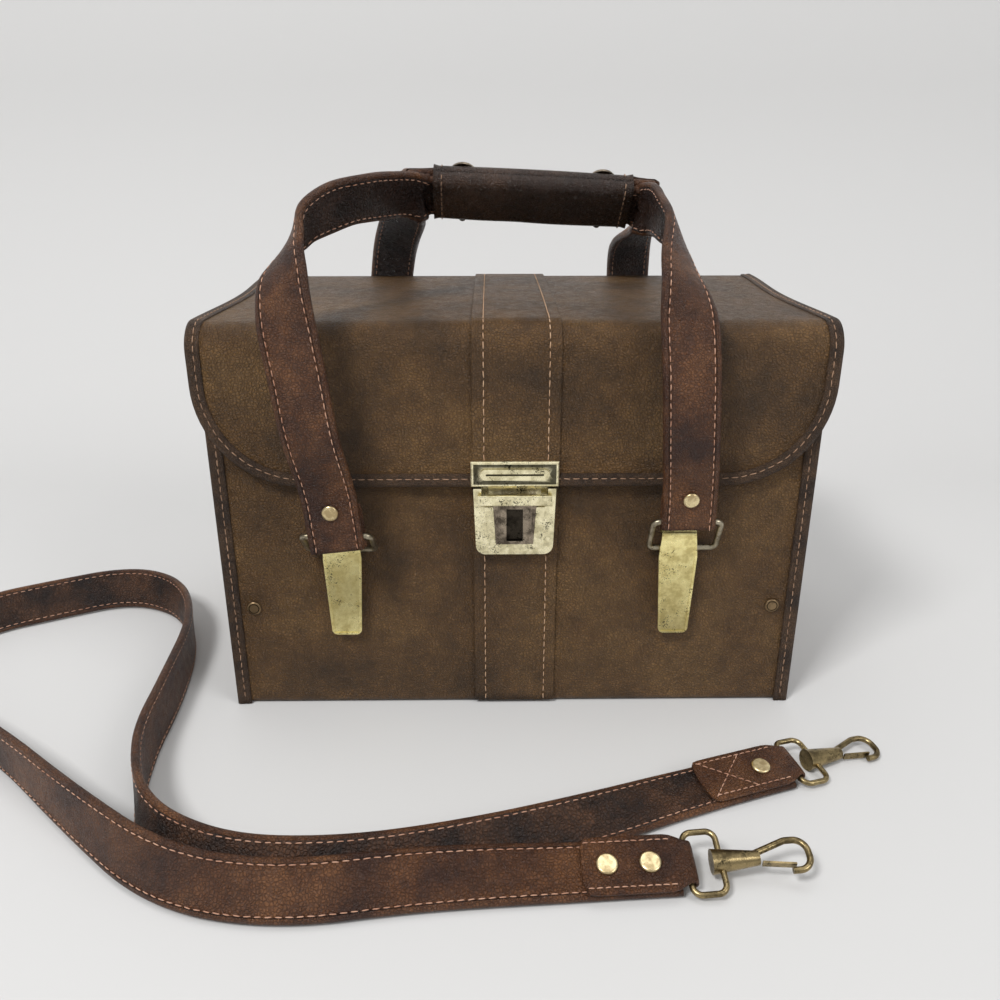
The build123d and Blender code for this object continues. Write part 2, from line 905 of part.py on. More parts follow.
def front_right_stations(tilt):
    x = hook_right_x
    y, z = ring_top(-1, tilt)
    thick = handle_strap_thick
    doubled = thick + strap_fold
    end = grip_right_x
    return [
        (near_grip(end + 2.0, 0.0, 0.0, -1), outer_edge(-1), thick),
        (near_grip(end + 6.0, 4.0, -1.8, -1), (0, 0.68, -0.73), thick),
        (near_grip(end + 8.6, 13.3, -0.6, -1), (0.05, 0.5, -0.86), thick),
        (near_grip(end + 10.0, 25.3, -0.6, -1), (0.07, 0.42, -0.9), thick),
        (near_grip(end + 11.5, 37.3, -3.2, -1), (0.15, 0.42, -0.9), thick),
        (over_lid(x - 6.5, -28.0, 39.8, -1), (0.36, 0.53, -0.76), thick),
        (over_lid(x - 6.0, -17.5, 33.3, -1), (0.54, 0.64, -0.54), thick),
        (over_lid(x - 6.5, -6.0, 25.5, -1), (0.73, 0.54, -0.42), thick),
        (over_lid(x - 5.5, 5.5, 15.0, -1), (0.88, 0.27, -0.3), thick),
        (over_lid(x - 4.5, 15.0, 0.0, -1), (1, 0, 0), thick),
        (over_lid(x - 3.5, 21.0, -20.0, -1), (1, 0, 0), thick),
        (over_lid(x - 2.0, 22.0, -44.0, -1), (1, 0, 0), thick),
        ((x + 0.5, y - 5.0, z + 28.0), (1, 0, 0), thick),
        ((x + 1.7, y - 2.0, z + 13.0), (1, 0, 0), doubled),
        ((ring_right_x, y, z + 2.0), (1, 0, 0), doubled),
    ]


def rear_left_stations(tilt):
    x = -hook_rear_x
    y, z = ring_top(1, tilt)
    thick = handle_strap_thick
    doubled = thick + strap_fold
    end = grip_left_x
    return [
        ((x, y, z + 2.0), (-1, 0, 0), doubled),
        ((x + 0.4, y + 2.0, z + 14.0), (-1, 0, 0), doubled),
        ((x + 1.6, y + 4.0, z + 27.0), (-1, 0, 0), thick),
        (over_lid(x + 4.5, 22.0, -43.0, 1), (-1, 0, 0), thick),
        (over_lid(x + 8.0, 21.0, -18.0, 1), (-1, 0, 0), thick),
        (over_lid(x + 11.0, 14.0, 2.0, 1), (-1, 0, 0.05), thick),
        (over_lid(x + 14.5, 2.0, 17.0, 1), (-1, 0, 0.2), thick),
        (over_lid(x + 19.0, -15.0, 28.5, 1), (-0.9, 0.1, 0.4), thick),
        (near_grip(end - 20.0, 44.3, -17.5, 1), (-0.8, 0, 0.55), thick),
        (near_grip(end - 17.0, 30.3, -11.0, 1), (-0.6, -0.15, 0.75), thick),
        (near_grip(end - 13.5, 18.3, -3.8, 1), (-0.35, -0.35, 0.87), thick),
        (near_grip(end - 10.5, 8.8, 0.6, 1), (-0.12, -0.55, 0.82), thick),
        (near_grip(end - 6.5, 2.8, 1.2, 1), (0, -0.68, 0.73), thick),
        (near_grip(end - 2.0, 0.0, 0.0, 1), outer_edge(1), thick),
    ]


def rear_right_stations(tilt):
    x = hook_rear_x
    y, z = ring_top(1, tilt)
    thick = handle_strap_thick
    doubled = thick + strap_fold
    end = grip_right_x
    return [
        (near_grip(end + 2.0, 0.0, 0.0, 1), outer_edge(1), thick),
        (near_grip(end + 6.5, 3.0, 1.9, 1), (0, -0.69, 0.72), thick),
        (near_grip(end + 10.5, 9.3, 0.4, 1), (0.1, -0.5, 0.85), thick),
        (near_grip(end + 12.7, 19.3, -4.0, 1), (0.25, -0.25, 0.93), thick),
        (near_grip(end + 13.3, 31.3, -9.5, 1), (0.5, 0, 0.85), thick),
        (over_lid(x - 10.0, -34.0, 35.0, 1), (0.75, 0.1, 0.65), thick),
        (over_lid(x - 10.5, -20.0, 28.5, 1), (0.9, 0.1, 0.4), thick),
        (over_lid(x - 10.3, -5.0, 20.0, 1), (0.97, 0.1, 0.2), thick),
        (over_lid(x - 9.0, 8.0, 8.5, 1), (1, 0, 0.1), thick),
        (over_lid(x - 7.5, 17.0, -8.0, 1), (1, 0, 0.04), thick),
        (over_lid(x - 5.5, 21.5, -26.0, 1), (1, 0, 0), thick),
        (over_lid(x - 3.0, 22.0, -45.0, 1), (1, 0, 0), thick),
        ((x - 1.0, y + 5.0, z + 28.0), (1, 0, 0), thick),
        ((x - 0.2, y + 2.0, z + 13.0), (1, 0, 0), doubled),
        ((x, y, z + 2.0), (1, 0, 0), doubled),
    ]


def strap_stations(side):
    """All stations of one strap, from the left ring over the grip to the right ring."""
    if side < 0:
        return front_left_stations(ring_tilt_left) + front_right_stations(ring_tilt_right)
    return rear_left_stations(ring_tilt_rear) + rear_right_stations(ring_tilt_rear)


def section_plane(before, here, after, upper):
    """A plane square to the strap, with X across its width."""
    tangent = (Vector(*after) - Vector(*before)).normalized()
    width = Vector(*upper)
    if upper in (outer_edge(-1), outer_edge(1)):
        tangent = grip_along()
    width = (width - tangent * width.dot(tangent)).normalized()
    return Plane(origin=here, x_dir=width, z_dir=tangent)


def make_handle_strap(side):
    """One strap from ring to ring, lofted straight from station to station."""
    stations = strap_stations(side)
    sections = []
    last = len(stations) - 1
    for index, (here, upper, thick) in enumerate(stations):
        before = stations[max(index - 1, 0)][0]
        after = stations[min(index + 1, last)][0]
        plane = section_plane(before, here, after, upper)
        sections.append(plane * Rectangle(handle_strap_width, thick))
    strap = loft(sections, ruled=True)
    for place in strap_rivet_places(side):
        strap = strap - rivet_hole(place, 2 * handle_strap_thick)
    radius = ring_wire / 2
    tilts = (ring_tilt_left, ring_tilt_right)
    if side > 0:
        tilts = (ring_tilt_rear, ring_tilt_rear)
    for end, tilt in zip((stations[0], stations[-1]), tilts):
        x = end[0][0]
        y, z = ring_top(side, tilt)
        eye = Rot(0, 90, 0) * Cylinder(radius + strap_eye_wall, handle_strap_width)
        bore = Rot(0, 90, 0) * Cylinder(radius + running_fit, handle_strap_width + 8)
        strap = strap + Pos(x, y, z) * eye
        strap = strap - Pos(x, y, z) * bore
    return strap


def strap_rivet_places(side):
    """Planes on the strap's outer face, one rivet near each ring."""
    stations = strap_stations(side)
    places = []
    for first, second in ((stations[0], stations[1]), (stations[-1], stations[-2])):
        low = Vector(*first[0])
        high = Vector(*second[0])
        along = (high - low).normalized()
        out = Vector(0, side, 0)
        out = (out - along * out.dot(along)).normalized()
        spot = low + along * strap_rivet_rise + out * (first[2] / 2 + strap_rivet_lift)
        places.append(Plane(origin=spot, x_dir=Vector(1, 0, 0), z_dir=out))
    return places


def make_strap_rivets(side):
    places = strap_rivet_places(side)
    return group(rivet(p, rivet_head_radius, rivet_head_height, strap_rivet_depth) for p in places)


# Grip

def grip_plane(side, x):
    """A plane across the grip, X along the strap's width and Y out of its face."""
    width = Vector(*grip_upwards())
    along = grip_along()
    width = (width - along * width.dot(along)).normalized()
    return Plane(origin=grip_end(x, side), x_dir=width, z_dir=along)


def grip_section():
    """Sizes of one half of the wrap: room for the strap, outer width and depth."""
    room_width = handle_strap_width + 2 * grip_fit
    room_thick = handle_strap_thick + 2 * grip_fit
    return room_width, room_thick, room_width + 2 * grip_wall, room_thick + grip_wall


def grip_face_sign(side):
    """+1 where the plane's Y points out of the grip's face."""
    face = Vector(0, side, 0)
    return 1 if grip_plane(side, 0).y_dir.dot(face) > 0 else -1


def make_grip_half(side):
    """Half of the leather wrap, a sleeve round one strap with a round back."""
    room_width, room_thick, width, depth = grip_section()
    sign = grip_face_sign(side)
    middle = sign * (depth - room_thick) / 2
    outer = Pos(0, middle) * Rectangle(width, depth)
    face_edge = middle + sign * depth / 2
    corners = [v for v in outer.vertices() if abs(v.Y - face_edge) < 0.01]
    outer = fillet(corners, grip_corner)
    length = grip_length * math.sqrt(1 + grip_slope ** 2)
    return extrude(grip_plane(side, grip_left_x) * (outer - Rectangle(room_width, room_thick)), length)


def snap_cap_planes():
    """Planes on the outer face of the rear half, near its upper edge."""
    room_width, room_thick, width, depth = grip_section()
    sign = grip_face_sign(1)
    across = width / 2 - grip_corner - snap_cap_edge_gap
    planes = []
    for x in (grip_left_x + snap_cap_inset, grip_right_x - snap_cap_inset):
        here = grip_plane(1, x)
        spot = here.from_local_coords(Vector(across, sign * (depth - room_thick / 2), 0))
        planes.append(Plane(origin=spot, x_dir=here.z_dir, z_dir=here.y_dir * sign))
    return planes


def make_snap_caps():
    """Two low domed caps on the grip's upper back."""
    caps = []
    for plane in snap_cap_planes():
        cap = Pos(0, 0, snap_cap_height / 2) * Cylinder(snap_cap_radius, snap_cap_height)
        caps.append(plane * fillet(cap.edges().sort_by(Axis.Z)[-1], snap_cap_height * 0.8))
    return group(caps)


def make_snap_studs():
    """The small studs on the lower edge of the front half, which the caps close on."""
    room_width, room_thick, width, depth = grip_section()
    studs = []
    for x in (grip_left_x + snap_cap_inset, grip_right_x - snap_cap_inset):
        here = grip_plane(-1, x)
        spot = here.from_local_coords(Vector(-width / 2, 0, 0))
        plane = Plane(origin=spot, x_dir=here.z_dir, z_dir=-here.x_dir)
        studs.append(plane * Pos(0, 0, snap_stud_height / 2) * Cylinder(snap_stud_radius, snap_stud_height))
    return group(studs)


# D-rings

def make_chape(side):
    """A leather tab riveted to the end panel, with an eye for the D-ring at its top."""
    x0 = half_width
    x1 = half_width + chape_thick
    half = chape_width / 2
    tab = box(x0, x1, -half, half, d_ring_height - chape_length, d_ring_height)
    eye_x = x0 + chape_eye_radius
    eye = Rot(90, 0, 0) * Cylinder(chape_eye_radius, chape_width)
    tab = tab + Pos(eye_x, 0, d_ring_height) * eye
    bore = Rot(90, 0, 0) * Cylinder(d_ring_wire / 2 + running_fit, chape_width + 2)
    tab = tab - Pos(eye_x, 0, d_ring_height) * bore
    if side < 0:
        tab = mirror(tab, about=Plane.YZ)
    for place in chape_rivet_places(side, chape_thick):
        tab = tab - rivet_hole(place, chape_thick)
    return tab


def make_d_ring(side):
    x = half_width + chape_eye_radius
    half = d_ring_length / 2
    path = FilletPolyline(
        (-half, 0),
        (half, 0),
        (half, -d_ring_drop),
        (-half, -d_ring_drop),
        radius=[d_ring_corner, d_ring_corner, d_ring_round, d_ring_round],
        close=True,
    )
    place = Plane(origin=(side * x, 0, d_ring_height), x_dir=(0, 1, 0), z_dir=(1, 0, 0))
    return loop_of_wire(place * path, d_ring_wire)


def make_chape_rivets():
    places = chape_rivet_places(-1, chape_thick) + chape_rivet_places(1, chape_thick)
    depth = chape_thick + panel - rivet_end_gap
    return group(rivet(p, chape_rivet_radius, chape_rivet_head, depth) for p in places)


# Shoulder strap. Each point is x, y and the strap's lean away from standing on its
# edge, in degrees, positive when the top leans to the right of the way it runs.

shoulder_route = [
    (65.0, -211.0, 70.0),
    (22.0, -213.5, 70.0),
    (-42.0, -219.5, 52.0),
    (-98.0, -229.5, 42.0),
    (-148.0, -219.5, 32.0),
    (-198.0, -181.0, 15.0),
    (-256.0, -131.0, 0.0),
    (-316.0, -92.0, 0.0),
    (-352.0, -50.0, 0.0),
    (-329.0, -3.0, -15.0),
    (-293.0, 19.0, -25.0),
    (-252.0, 40.0, -28.0),
    (-213.0, 22.0, -12.0),
    (-191.0, -22.0, 0.0),
    (-184.0, -84.0, 12.0),
    (-182.0, -142.0, 8.0),
    (-165.0, -190.0, -15.0),
    (-127.0, -213.5, -36.0),
    (-78.0, -216.0, -42.0),
    (-26.0, -205.0, -52.0),
    (35.0, -183.0, -66.0),
    (83.0, -160.5, -80.0),
    (128.5, -145.0, -80.0),
]
snap_turn_a = 4.0
snap_turn_b = -3.0


def route_radii():
    """Corner radii of the route, as large as the runs allow."""
    radii = []
    for index in range(1, len(shoulder_route) - 1):
        here = Vector(shoulder_route[index][0], shoulder_route[index][1])
        before = Vector(shoulder_route[index - 1][0], shoulder_route[index - 1][1])
        after = Vector(shoulder_route[index + 1][0], shoulder_route[index + 1][1])
        turn = math.radians((here - before).get_angle(after - here))
        shorter = min((here - before).length, (after - here).length)
        radii.append(0.45 * shorter / math.tan(turn / 2))
    return radii


def shoulder_path():
    points = [(x, y) for x, y, lean in shoulder_route]
    return FilletPolyline(*points, radius=route_radii())


def lean_at(point):
    """The lean between the two nearest route points."""
    best = None
    for index in range(len(shoulder_route) - 1):
        ax, ay, a_lean = shoulder_route[index]
        bx, by, b_lean = shoulder_route[index + 1]
        span = Vector(bx - ax, by - ay)
        offset = Vector(point.X - ax, point.Y - ay)
        share = max(0.0, min(1.0, offset.dot(span) / span.dot(span)))
        miss = (offset - span * share).length
        if best is None or miss < best[0]:
            best = (miss, a_lean + (b_lean - a_lean) * share)
    return best[1]


def strap_plane(point, heading, lean):
    """X across the strap's width, upwards; Z along it. Its lower edge is on the table."""
    angle = math.radians(lean)
    right = heading.cross(Vector(0, 0, 1)).normalized()
    width = right * math.sin(angle) + Vector(0, 0, 1) * math.cos(angle)
    half_w = shoulder_width / 2
    half_t = shoulder_thick / 2
    height = half_w * math.cos(angle) + half_t * abs(math.sin(angle)) + floor_gap
    return Plane(origin=(point.X, point.Y, height), x_dir=width, z_dir=heading)


def make_shoulder_strap():
    """A flat band lofted along the arcs of its route, twisting as it leans."""
    path = shoulder_path()
    sections = []
    spots = []
    edges = path.edges()
    for edge in edges:
        steps = 1
        if edge.geom_type == GeomType.CIRCLE:
            steps = max(2, int(edge.length / 14))
        for step in range(steps):
            spots.append((edge @ (step / steps), edge % (step / steps)))
    spots.append((edges[-1] @ 1, edges[-1] % 1))
    for point, heading in spots:
        plane = strap_plane(point, heading.normalized(), lean_at(point))
        sections.append(plane * Rectangle(shoulder_width, shoulder_thick))
    strap = loft(sections, ruled=True)
    print("shoulder strap length", round(path.length, 1), "stations", len(sections))
    print("shoulder strap volume", round(strap.volume), "of", round(path.length * shoulder_width * shoulder_thick))
    print("shoulder strap radii", [round(r) for r in route_radii()])
    return strap


def snap_plane(end, turn):
    """Frame at a strap end's eye: X outwards, Y across the width, Z out of the top face."""
    x, y, lean = shoulder_route[0] if end == "a" else shoulder_route[-1]
    inner = shoulder_route[1] if end == "a" else shoulder_route[-2]
    heading = Vector(x - inner[0], y - inner[1]).normalized()
    sideways = heading.cross(Vector(0, 0, 1)).normalized()
    angle = math.radians(abs(lean))
    width = Vector(0, 0, 1) * math.cos(angle) - sideways * math.sin(angle)
    face = heading.cross(width)
    height = shoulder_width / 2 * math.cos(angle) + shoulder_thick / 2 * math.sin(angle) + floor_gap
    lift = fold_eye_radius - shoulder_thick / 2 + fold_eye_lift
    origin = Vector(x, y, height) + heading * (fold_eye_radius + fold_eye_gap) + face * lift
    return turned(Plane(origin=origin, x_dir=heading, z_dir=face), turn)


def turned(frame, turn):
    """The same frame, turned about its Y axis, the loop's bar."""
    angle = math.radians(turn)
    x_dir = frame.x_dir * math.cos(angle) + frame.z_dir * math.sin(angle)
    z_dir = frame.z_dir * math.cos(angle) - frame.x_dir * math.sin(angle)
    return Plane(origin=frame.origin, x_dir=x_dir, z_dir=z_dir)


def fold_rivet_spots(end):
    if end == "a":
        return [-16.0, -34.0]
    return [-17.0]


def make_strap_fold(end):
    """The strap's end folded over the loop's bar and laid back on its own top face."""
    frame = snap_plane(end, 0)
    low = -fold_eye_radius + shoulder_thick + fold_layer_gap
    length = fold_length_a if end == "a" else fold_length_b
    layer = box(-length, -1.0, -shoulder_width / 2, shoulder_width / 2, low, low + fold_thick)
    layer = fillet(layer.edges().filter_by(Axis.Z), 1.0)
    eye = Rot(90, 0, 0) * Cylinder(fold_eye_radius, fold_eye_width)
    notch_half = fold_eye_width / 2
    notch = box(-fold_notch, 9, notch_half, shoulder_width, -9, 9)
    notch = notch + box(-fold_notch, 9, -shoulder_width, -notch_half, -9, 9)
    bore = Rot(90, 0, 0) * Cylinder(snap_loop_wire / 2 + running_fit, shoulder_width)
    fold = layer + eye - notch - bore
    for u in fold_rivet_spots(end):
        place = Plane(origin=(u, 0, low + fold_thick), z_dir=(0, 0, 1))
        fold = fold - rivet_hole(place, fold_thick)
    return frame * fold


def make_fold_rivets(end):
    frame = snap_plane(end, 0)
    low = -fold_eye_radius + shoulder_thick + fold_layer_gap
    rivets = []
    for u in fold_rivet_spots(end):
        place = Plane(origin=(u, 0, low + fold_thick), z_dir=(0, 0, 1))
        head = rivet_head_radius + fold_rivet_extra
        rivets.append(frame * rivet(place, head, rivet_head_height, fold_thick))
    return group(rivets)


def make_snap_loop(end, turn):
    """The snap hook's wire loop, one bar in the fold's eye."""
    half = snap_loop_height / 2
    path = FilletPolyline(
        (0, half),
        (snap_loop_depth, half),
        (snap_loop_depth, -half),
        (0, -half),
        radius=snap_loop_corner,
        close=True,
    )
    return loop_of_wire(snap_plane(end, turn) * path, snap_loop_wire)


def make_snap_hook(end, turn):
    """The tapered sleeve crimped over the loop, with the bent wire hook in it."""
    length = snap_sleeve_end - snap_sleeve_start
    sleeve = Cone(snap_sleeve_wide, snap_sleeve_narrow, length)
    sleeve = Pos((snap_sleeve_start + snap_sleeve_end) / 2, 0, 0) * Rot(0, 90, 0) * sleeve
    bore = Rot(90, 0, 0) * Cylinder(snap_loop_wire / 2 + running_fit, 30)
    sleeve = sleeve - Pos(snap_loop_depth, 0, 0) * bore
    path = FilletPolyline(
        (snap_sleeve_end - 4, snap_wire_rise),
        (snap_reach - snap_neck, snap_half_gap),
        (snap_reach, snap_half_gap),
        (snap_reach, -snap_half_gap),
        (snap_reach - snap_lip, -snap_half_gap),
        radius=[snap_neck_bend, snap_bend, snap_bend],
    )
    start = path.edges()[0]
    section = Plane(origin=start @ 0, z_dir=start % 0) * Circle(snap_wire / 2)
    hook = sweep(section, path=Wire(path.edges()))
    return snap_plane(end, turn) * (sleeve + hook)


def gate_root():
    return snap_sleeve_end + gate_root_gap, -snap_sleeve_narrow + gate_thick / 2


def make_snap_gate(end, turn):
    """The leaf that closes the hook: its root is at the sleeve, its tip on the wire."""
    root_x, root_y = gate_root()
    tip_x = snap_reach - gate_tip_inset
    tip_y = -snap_half_gap + snap_wire / 2 + gate_thick / 2 + gate_tip_gap
    span = Vector(tip_x - root_x, tip_y - root_y)
    angle = math.degrees(math.atan2(span.Y, span.X))
    strip = Box(span.length, gate_thick, gate_width)
    strip = Pos((root_x + tip_x) / 2, (root_y + tip_y) / 2, 0) * Rot(0, 0, angle) * strip
    return snap_plane(end, turn) * strip


def print_joint_places():
    """The joint points and axes, for the record."""
    print("lid hinge", hinge_y, hinge_z)
    print("handle pivots", pivot_y, ring_pivot_height)
    print("d ring", half_width + chape_eye_radius, d_ring_height)
    for end, turn in (("a", snap_turn_a), ("b", snap_turn_b)):
        frame = snap_plane(end, turn)
        print("snap", end, "at", frame.origin, "x", frame.x_dir, "y", frame.y_dir, "z", frame.z_dir)
        root_x, root_y = gate_root()
        print("gate root", end, frame.from_local_coords(Vector(root_x, root_y, 0)))


def build_case():
    save("body_wrap", make_body_wrap())
    save("end_panel_left", make_end_panel(-1))
    save("end_panel_right", make_end_panel(1))
    save("end_binding_left", make_end_binding(-1))
    save("end_binding_right", make_end_binding(1))
    save("front_band", make_front_band())
    save("case_lining", make_lining())
    save("floor_pad", make_floor_pad())
    save("divider_left", make_divider(divider_left_x))
    save("divider_right", make_divider(divider_right_x))
    save("hinge_strip", make_hinge_strip())
    save("corner_studs", make_corner_studs())
    for name, (x, side) in hook_places().items():
        save(name, make_hook(x, side))
    save("hook_rivets", make_hook_rivets())
    save("d_ring_chape_left", make_chape(-1))
    save("d_ring_chape_right", make_chape(1))
    save("chape_rivets", make_chape_rivets())
    save("d_ring_left", make_d_ring(-1))
    save("d_ring_right", make_d_ring(1))


def build_lid_and_lock():
    save("lid_shell", make_lid_shell())
    save("lid_binding", make_lid_binding())
    save("lid_band", make_lid_band())
    save("lid_lining", make_lid_lining())
    save("hasp_plate", make_hasp_plate())
    save("hasp_tongue", make_hasp_tongue())
    save("hasp_rivets", make_hasp_rivets())
    save("lock_base", make_lock_base())
    save("lock_bar", make_lock_bar())
    save("lock_rivets", make_lock_rivets())
    save("lock_button", make_lock_button())
    save("lock_catch", make_lock_catch())
    save("lock_spring", make_lock_spring())


def build_handles():
    save("front_ring_left", make_ring(hook_left_x, -1, ring_tilt_left))
    save("front_ring_right", make_ring(ring_right_x, -1, ring_tilt_right))
    save("rear_ring_left", make_ring(-hook_rear_x, 1, ring_tilt_rear))
    save("rear_ring_right", make_ring(hook_rear_x, 1, ring_tilt_rear))
    save("front_strap", make_handle_strap(-1))
    save("rear_strap", make_handle_strap(1))
    save("front_strap_rivets", make_strap_rivets(-1))
    save("rear_strap_rivets", make_strap_rivets(1))
    save("grip_wrap_front", make_grip_half(-1))
    save("grip_wrap_rear", make_grip_half(1))
    save("snap_caps", make_snap_caps())
    save("snap_studs", make_snap_studs())


def build_shoulder_strap():
    save("shoulder_strap", make_shoulder_strap())
    for end, turn in (("a", snap_turn_a), ("b", snap_turn_b)):
        save("strap_fold_" + end, make_strap_fold(end))
        save("fold_rivets_" + end, make_fold_rivets(end))
        save("snap_loop_" + end, make_snap_loop(end, turn))
        save("snap_hook_" + end, make_snap_hook(end, turn))
        save("snap_gate_" + end, make_snap_gate(end, turn))


build_case()
build_lid_and_lock()
build_handles()
build_shoulder_strap()
print_joint_places()
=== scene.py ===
import math
import random

import bpy
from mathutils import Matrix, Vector


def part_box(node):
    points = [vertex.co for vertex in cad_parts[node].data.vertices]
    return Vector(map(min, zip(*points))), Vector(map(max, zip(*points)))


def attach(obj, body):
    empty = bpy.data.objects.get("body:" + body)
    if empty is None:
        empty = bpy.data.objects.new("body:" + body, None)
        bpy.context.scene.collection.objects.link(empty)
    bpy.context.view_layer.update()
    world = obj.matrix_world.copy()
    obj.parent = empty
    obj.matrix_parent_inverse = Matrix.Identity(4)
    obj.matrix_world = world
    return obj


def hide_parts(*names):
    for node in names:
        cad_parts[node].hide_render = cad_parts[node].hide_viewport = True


# Looks of the camera case. Metres. +X to the right, -Y to the front, +Z up.
# A side is -1 for left or front and 1 for right or rear.

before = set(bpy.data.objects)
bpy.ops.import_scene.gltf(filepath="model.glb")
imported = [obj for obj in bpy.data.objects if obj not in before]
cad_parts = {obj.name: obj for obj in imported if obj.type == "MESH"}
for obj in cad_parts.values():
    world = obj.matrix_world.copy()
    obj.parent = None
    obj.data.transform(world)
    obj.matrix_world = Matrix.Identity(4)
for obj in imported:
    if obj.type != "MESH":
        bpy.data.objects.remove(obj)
scene = bpy.context.scene
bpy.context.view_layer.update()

# Sizes shared with the solids
HALF_WIDTH = 0.150
HALF_DEPTH = 0.081
LID_TOP = 0.208
LID_HALF = 0.1535
LID_BACK = 0.0815
LID_BOARD = 0.0022
LID_RADIUS = 0.013
FLAP_Y = -0.0855
FLAP_BOTTOM = 0.129
FLAP_CORNER = 0.050
BODY_FRONT_TOP = 0.172
BAND_WIDTH = 0.043
STRAP_WIDTH = 0.027
STRAP_THICK = 0.004
GRIP_LEFT = -0.041
GRIP_RIGHT = 0.062
GRIP_RISE = 0.0543
GRIP_SLOPE = 0.05
SHOULDER_WIDTH = 0.025
SHOULDER_THICK = 0.004
PIVOT_Y = 0.08365
RING_PIVOT_Z = 0.094
RING_RISE = 0.0205
HOOK_LEFT_X = -0.0875
HOOK_RIGHT_X = 0.0835
HOOK_REAR_X = 0.0855
TILT_LEFT = math.radians(48)
TILT_OTHER = math.radians(28)
FOLD_EYE = 0.0034
FOLD_LENGTH = {"a": 0.045, "b": 0.050}
MM = 0.001

# Spacing and length of stitches
FOLD_STITCH = (0.0034, 0.0026)
GRIP_STITCH = (0.0036, 0.0026)
SHOULDER_STITCH = (0.0042, 0.0031)
STRAP_STITCH = (0.0043, 0.0031)
EDGE_STITCH = (0.0046, 0.0034)

# One stitch: rings along it by reach, size and lift, in shares of its half length and radius
STITCH_RADIUS = 0.00028
STITCH_SIDES = 6
STITCH_SHAPE = [
    (-1, 0.25, -0.5), (-0.75, 0.85, 0.15), (0, 1.0, 0.55), (0.75, 0.85, 0.15), (1, 0.25, -0.5),
]

# Stitch rows: distance from a strip's edges, how deep they lie in it and the furrow's depth
STRAP_SEAM = 0.0034
SHOULDER_SEAM = 0.0030
BAND_SEAM = 0.0058
SINK = 0.0001
FURROW = 0.0003

# Sizes of the looks alone
BAND_THICK = 0.0013
BAND_X = 0.0006
LID_SAG = 0.0012
LID_WAIST = 0.0042
FOLD_HALF_THICK = 0.0009
GRIP_HALF_WIDTH = 0.01565
GRIP_HALF_THICK = 0.0064
GRIP_CORNER = 0.0046
GRIP_HOLLOW = (0.0137, 0.0042, 0.001)
LINING_CORNER = 0.006

UP = Vector((0, 0, 1))
END = {-1: "left", 1: "right"}
WALL = {-1: "front", 1: "rear"}


def add(name, data):
    """A new object in the scene."""
    thing = bpy.data.objects.new(name, data)
    scene.collection.objects.link(thing)
    return thing


# Camera

def make_camera():
    data = bpy.data.cameras.new("camera")
    data.lens = 32.74
    data.sensor_width = 36.0
    data.clip_start = 0.02
    data.clip_end = 20.0
    camera = add("camera", data)
    camera.location = (-0.0118, -0.5065, 0.2866)
    pitch = math.radians(90 - 21.46)
    camera.rotation_euler = (pitch, math.radians(0.03), math.radians(-0.63))
    scene.camera = camera


# Materials

class Paint:
    """A material in the making. Patterns lie on the object's own coordinates."""

    def __init__(self, name):
        self.material = bpy.data.materials.new(name)
        self.material.use_nodes = True
        self.nodes = self.material.node_tree.nodes
        self.links = self.material.node_tree.links
        self.shader = self.nodes["Principled BSDF"]
        self.place = self.nodes.new("ShaderNodeTexCoord").outputs["Object"]

    def set(self, name, value):
        self.shader.inputs[name].default_value = value

    def feed(self, name, source):
        self.links.new(source, self.shader.inputs[name])

    def texture(self, kind, scale, place=None):
        node = self.nodes.new(kind)
        node.inputs["Scale"].default_value = scale
        self.links.new(place or self.place, node.inputs["Vector"])
        return node

    def noise(self, scale, detail, roughness=0.55, place=None):
        node = self.texture("ShaderNodeTexNoise", scale, place)
        node.inputs["Detail"].default_value = detail
        node.inputs["Roughness"].default_value = roughness
        return node.outputs["Fac"]

    def cells(self, scale, place):
        """The distance to the nearest border of a pattern of cells."""
        node = self.texture("ShaderNodeTexVoronoi", scale, place)
        node.feature = "DISTANCE_TO_EDGE"
        return node.outputs["Distance"]

    def warped(self, scale, amount):
        """The coordinates, pushed about by a noise, so that cells look grown."""
        node = self.texture("ShaderNodeTexNoise", scale)
        node.inputs["Detail"].default_value = 2.0
        push = self.nodes.new("ShaderNodeVectorMath")
        push.operation = "MULTIPLY_ADD"
        push.inputs[1].default_value = (amount, amount, amount)
        self.links.new(node.outputs["Color"], push.inputs[0])
        self.links.new(self.place, push.inputs[2])
        return push.outputs["Vector"]

    def ramp(self, value, stops):
        """Colours or grey levels along a value."""
        node = self.nodes.new("ShaderNodeValToRGB")
        elements = node.color_ramp.elements
        while len(elements) < len(stops):
            elements.new(0.5)
        for element, (position, colour) in zip(elements, stops):
            element.position = position
            if not isinstance(colour, tuple):
                colour = (colour, colour, colour)
            element.color = (*colour, 1.0)
        self.links.new(value, node.inputs["Fac"])
        return node.outputs["Color"]

    def blended(self, first, second, share, mode="MIX"):
        """A mix of two colours. Each input is a socket, a colour or a number."""
        node = self.nodes.new("ShaderNodeMix")
        node.data_type = "RGBA"
        node.blend_type = mode
        for number, source in ((0, share), (6, first), (7, second)):
            if isinstance(source, bpy.types.NodeSocket):
                self.links.new(source, node.inputs[number])
            elif isinstance(source, tuple):
                node.inputs[number].default_value = (*source, 1.0)
            else:
                node.inputs[number].default_value = source
        return node.outputs[2]

    def bump(self, height, strength, distance, under=None):
        node = self.nodes.new("ShaderNodeBump")
        node.inputs["Strength"].default_value = strength
        node.inputs["Distance"].default_value = distance
        self.links.new(height, node.inputs["Height"])
        if under is not None:
            self.links.new(under, node.inputs["Normal"])
        return node.outputs["Normal"]


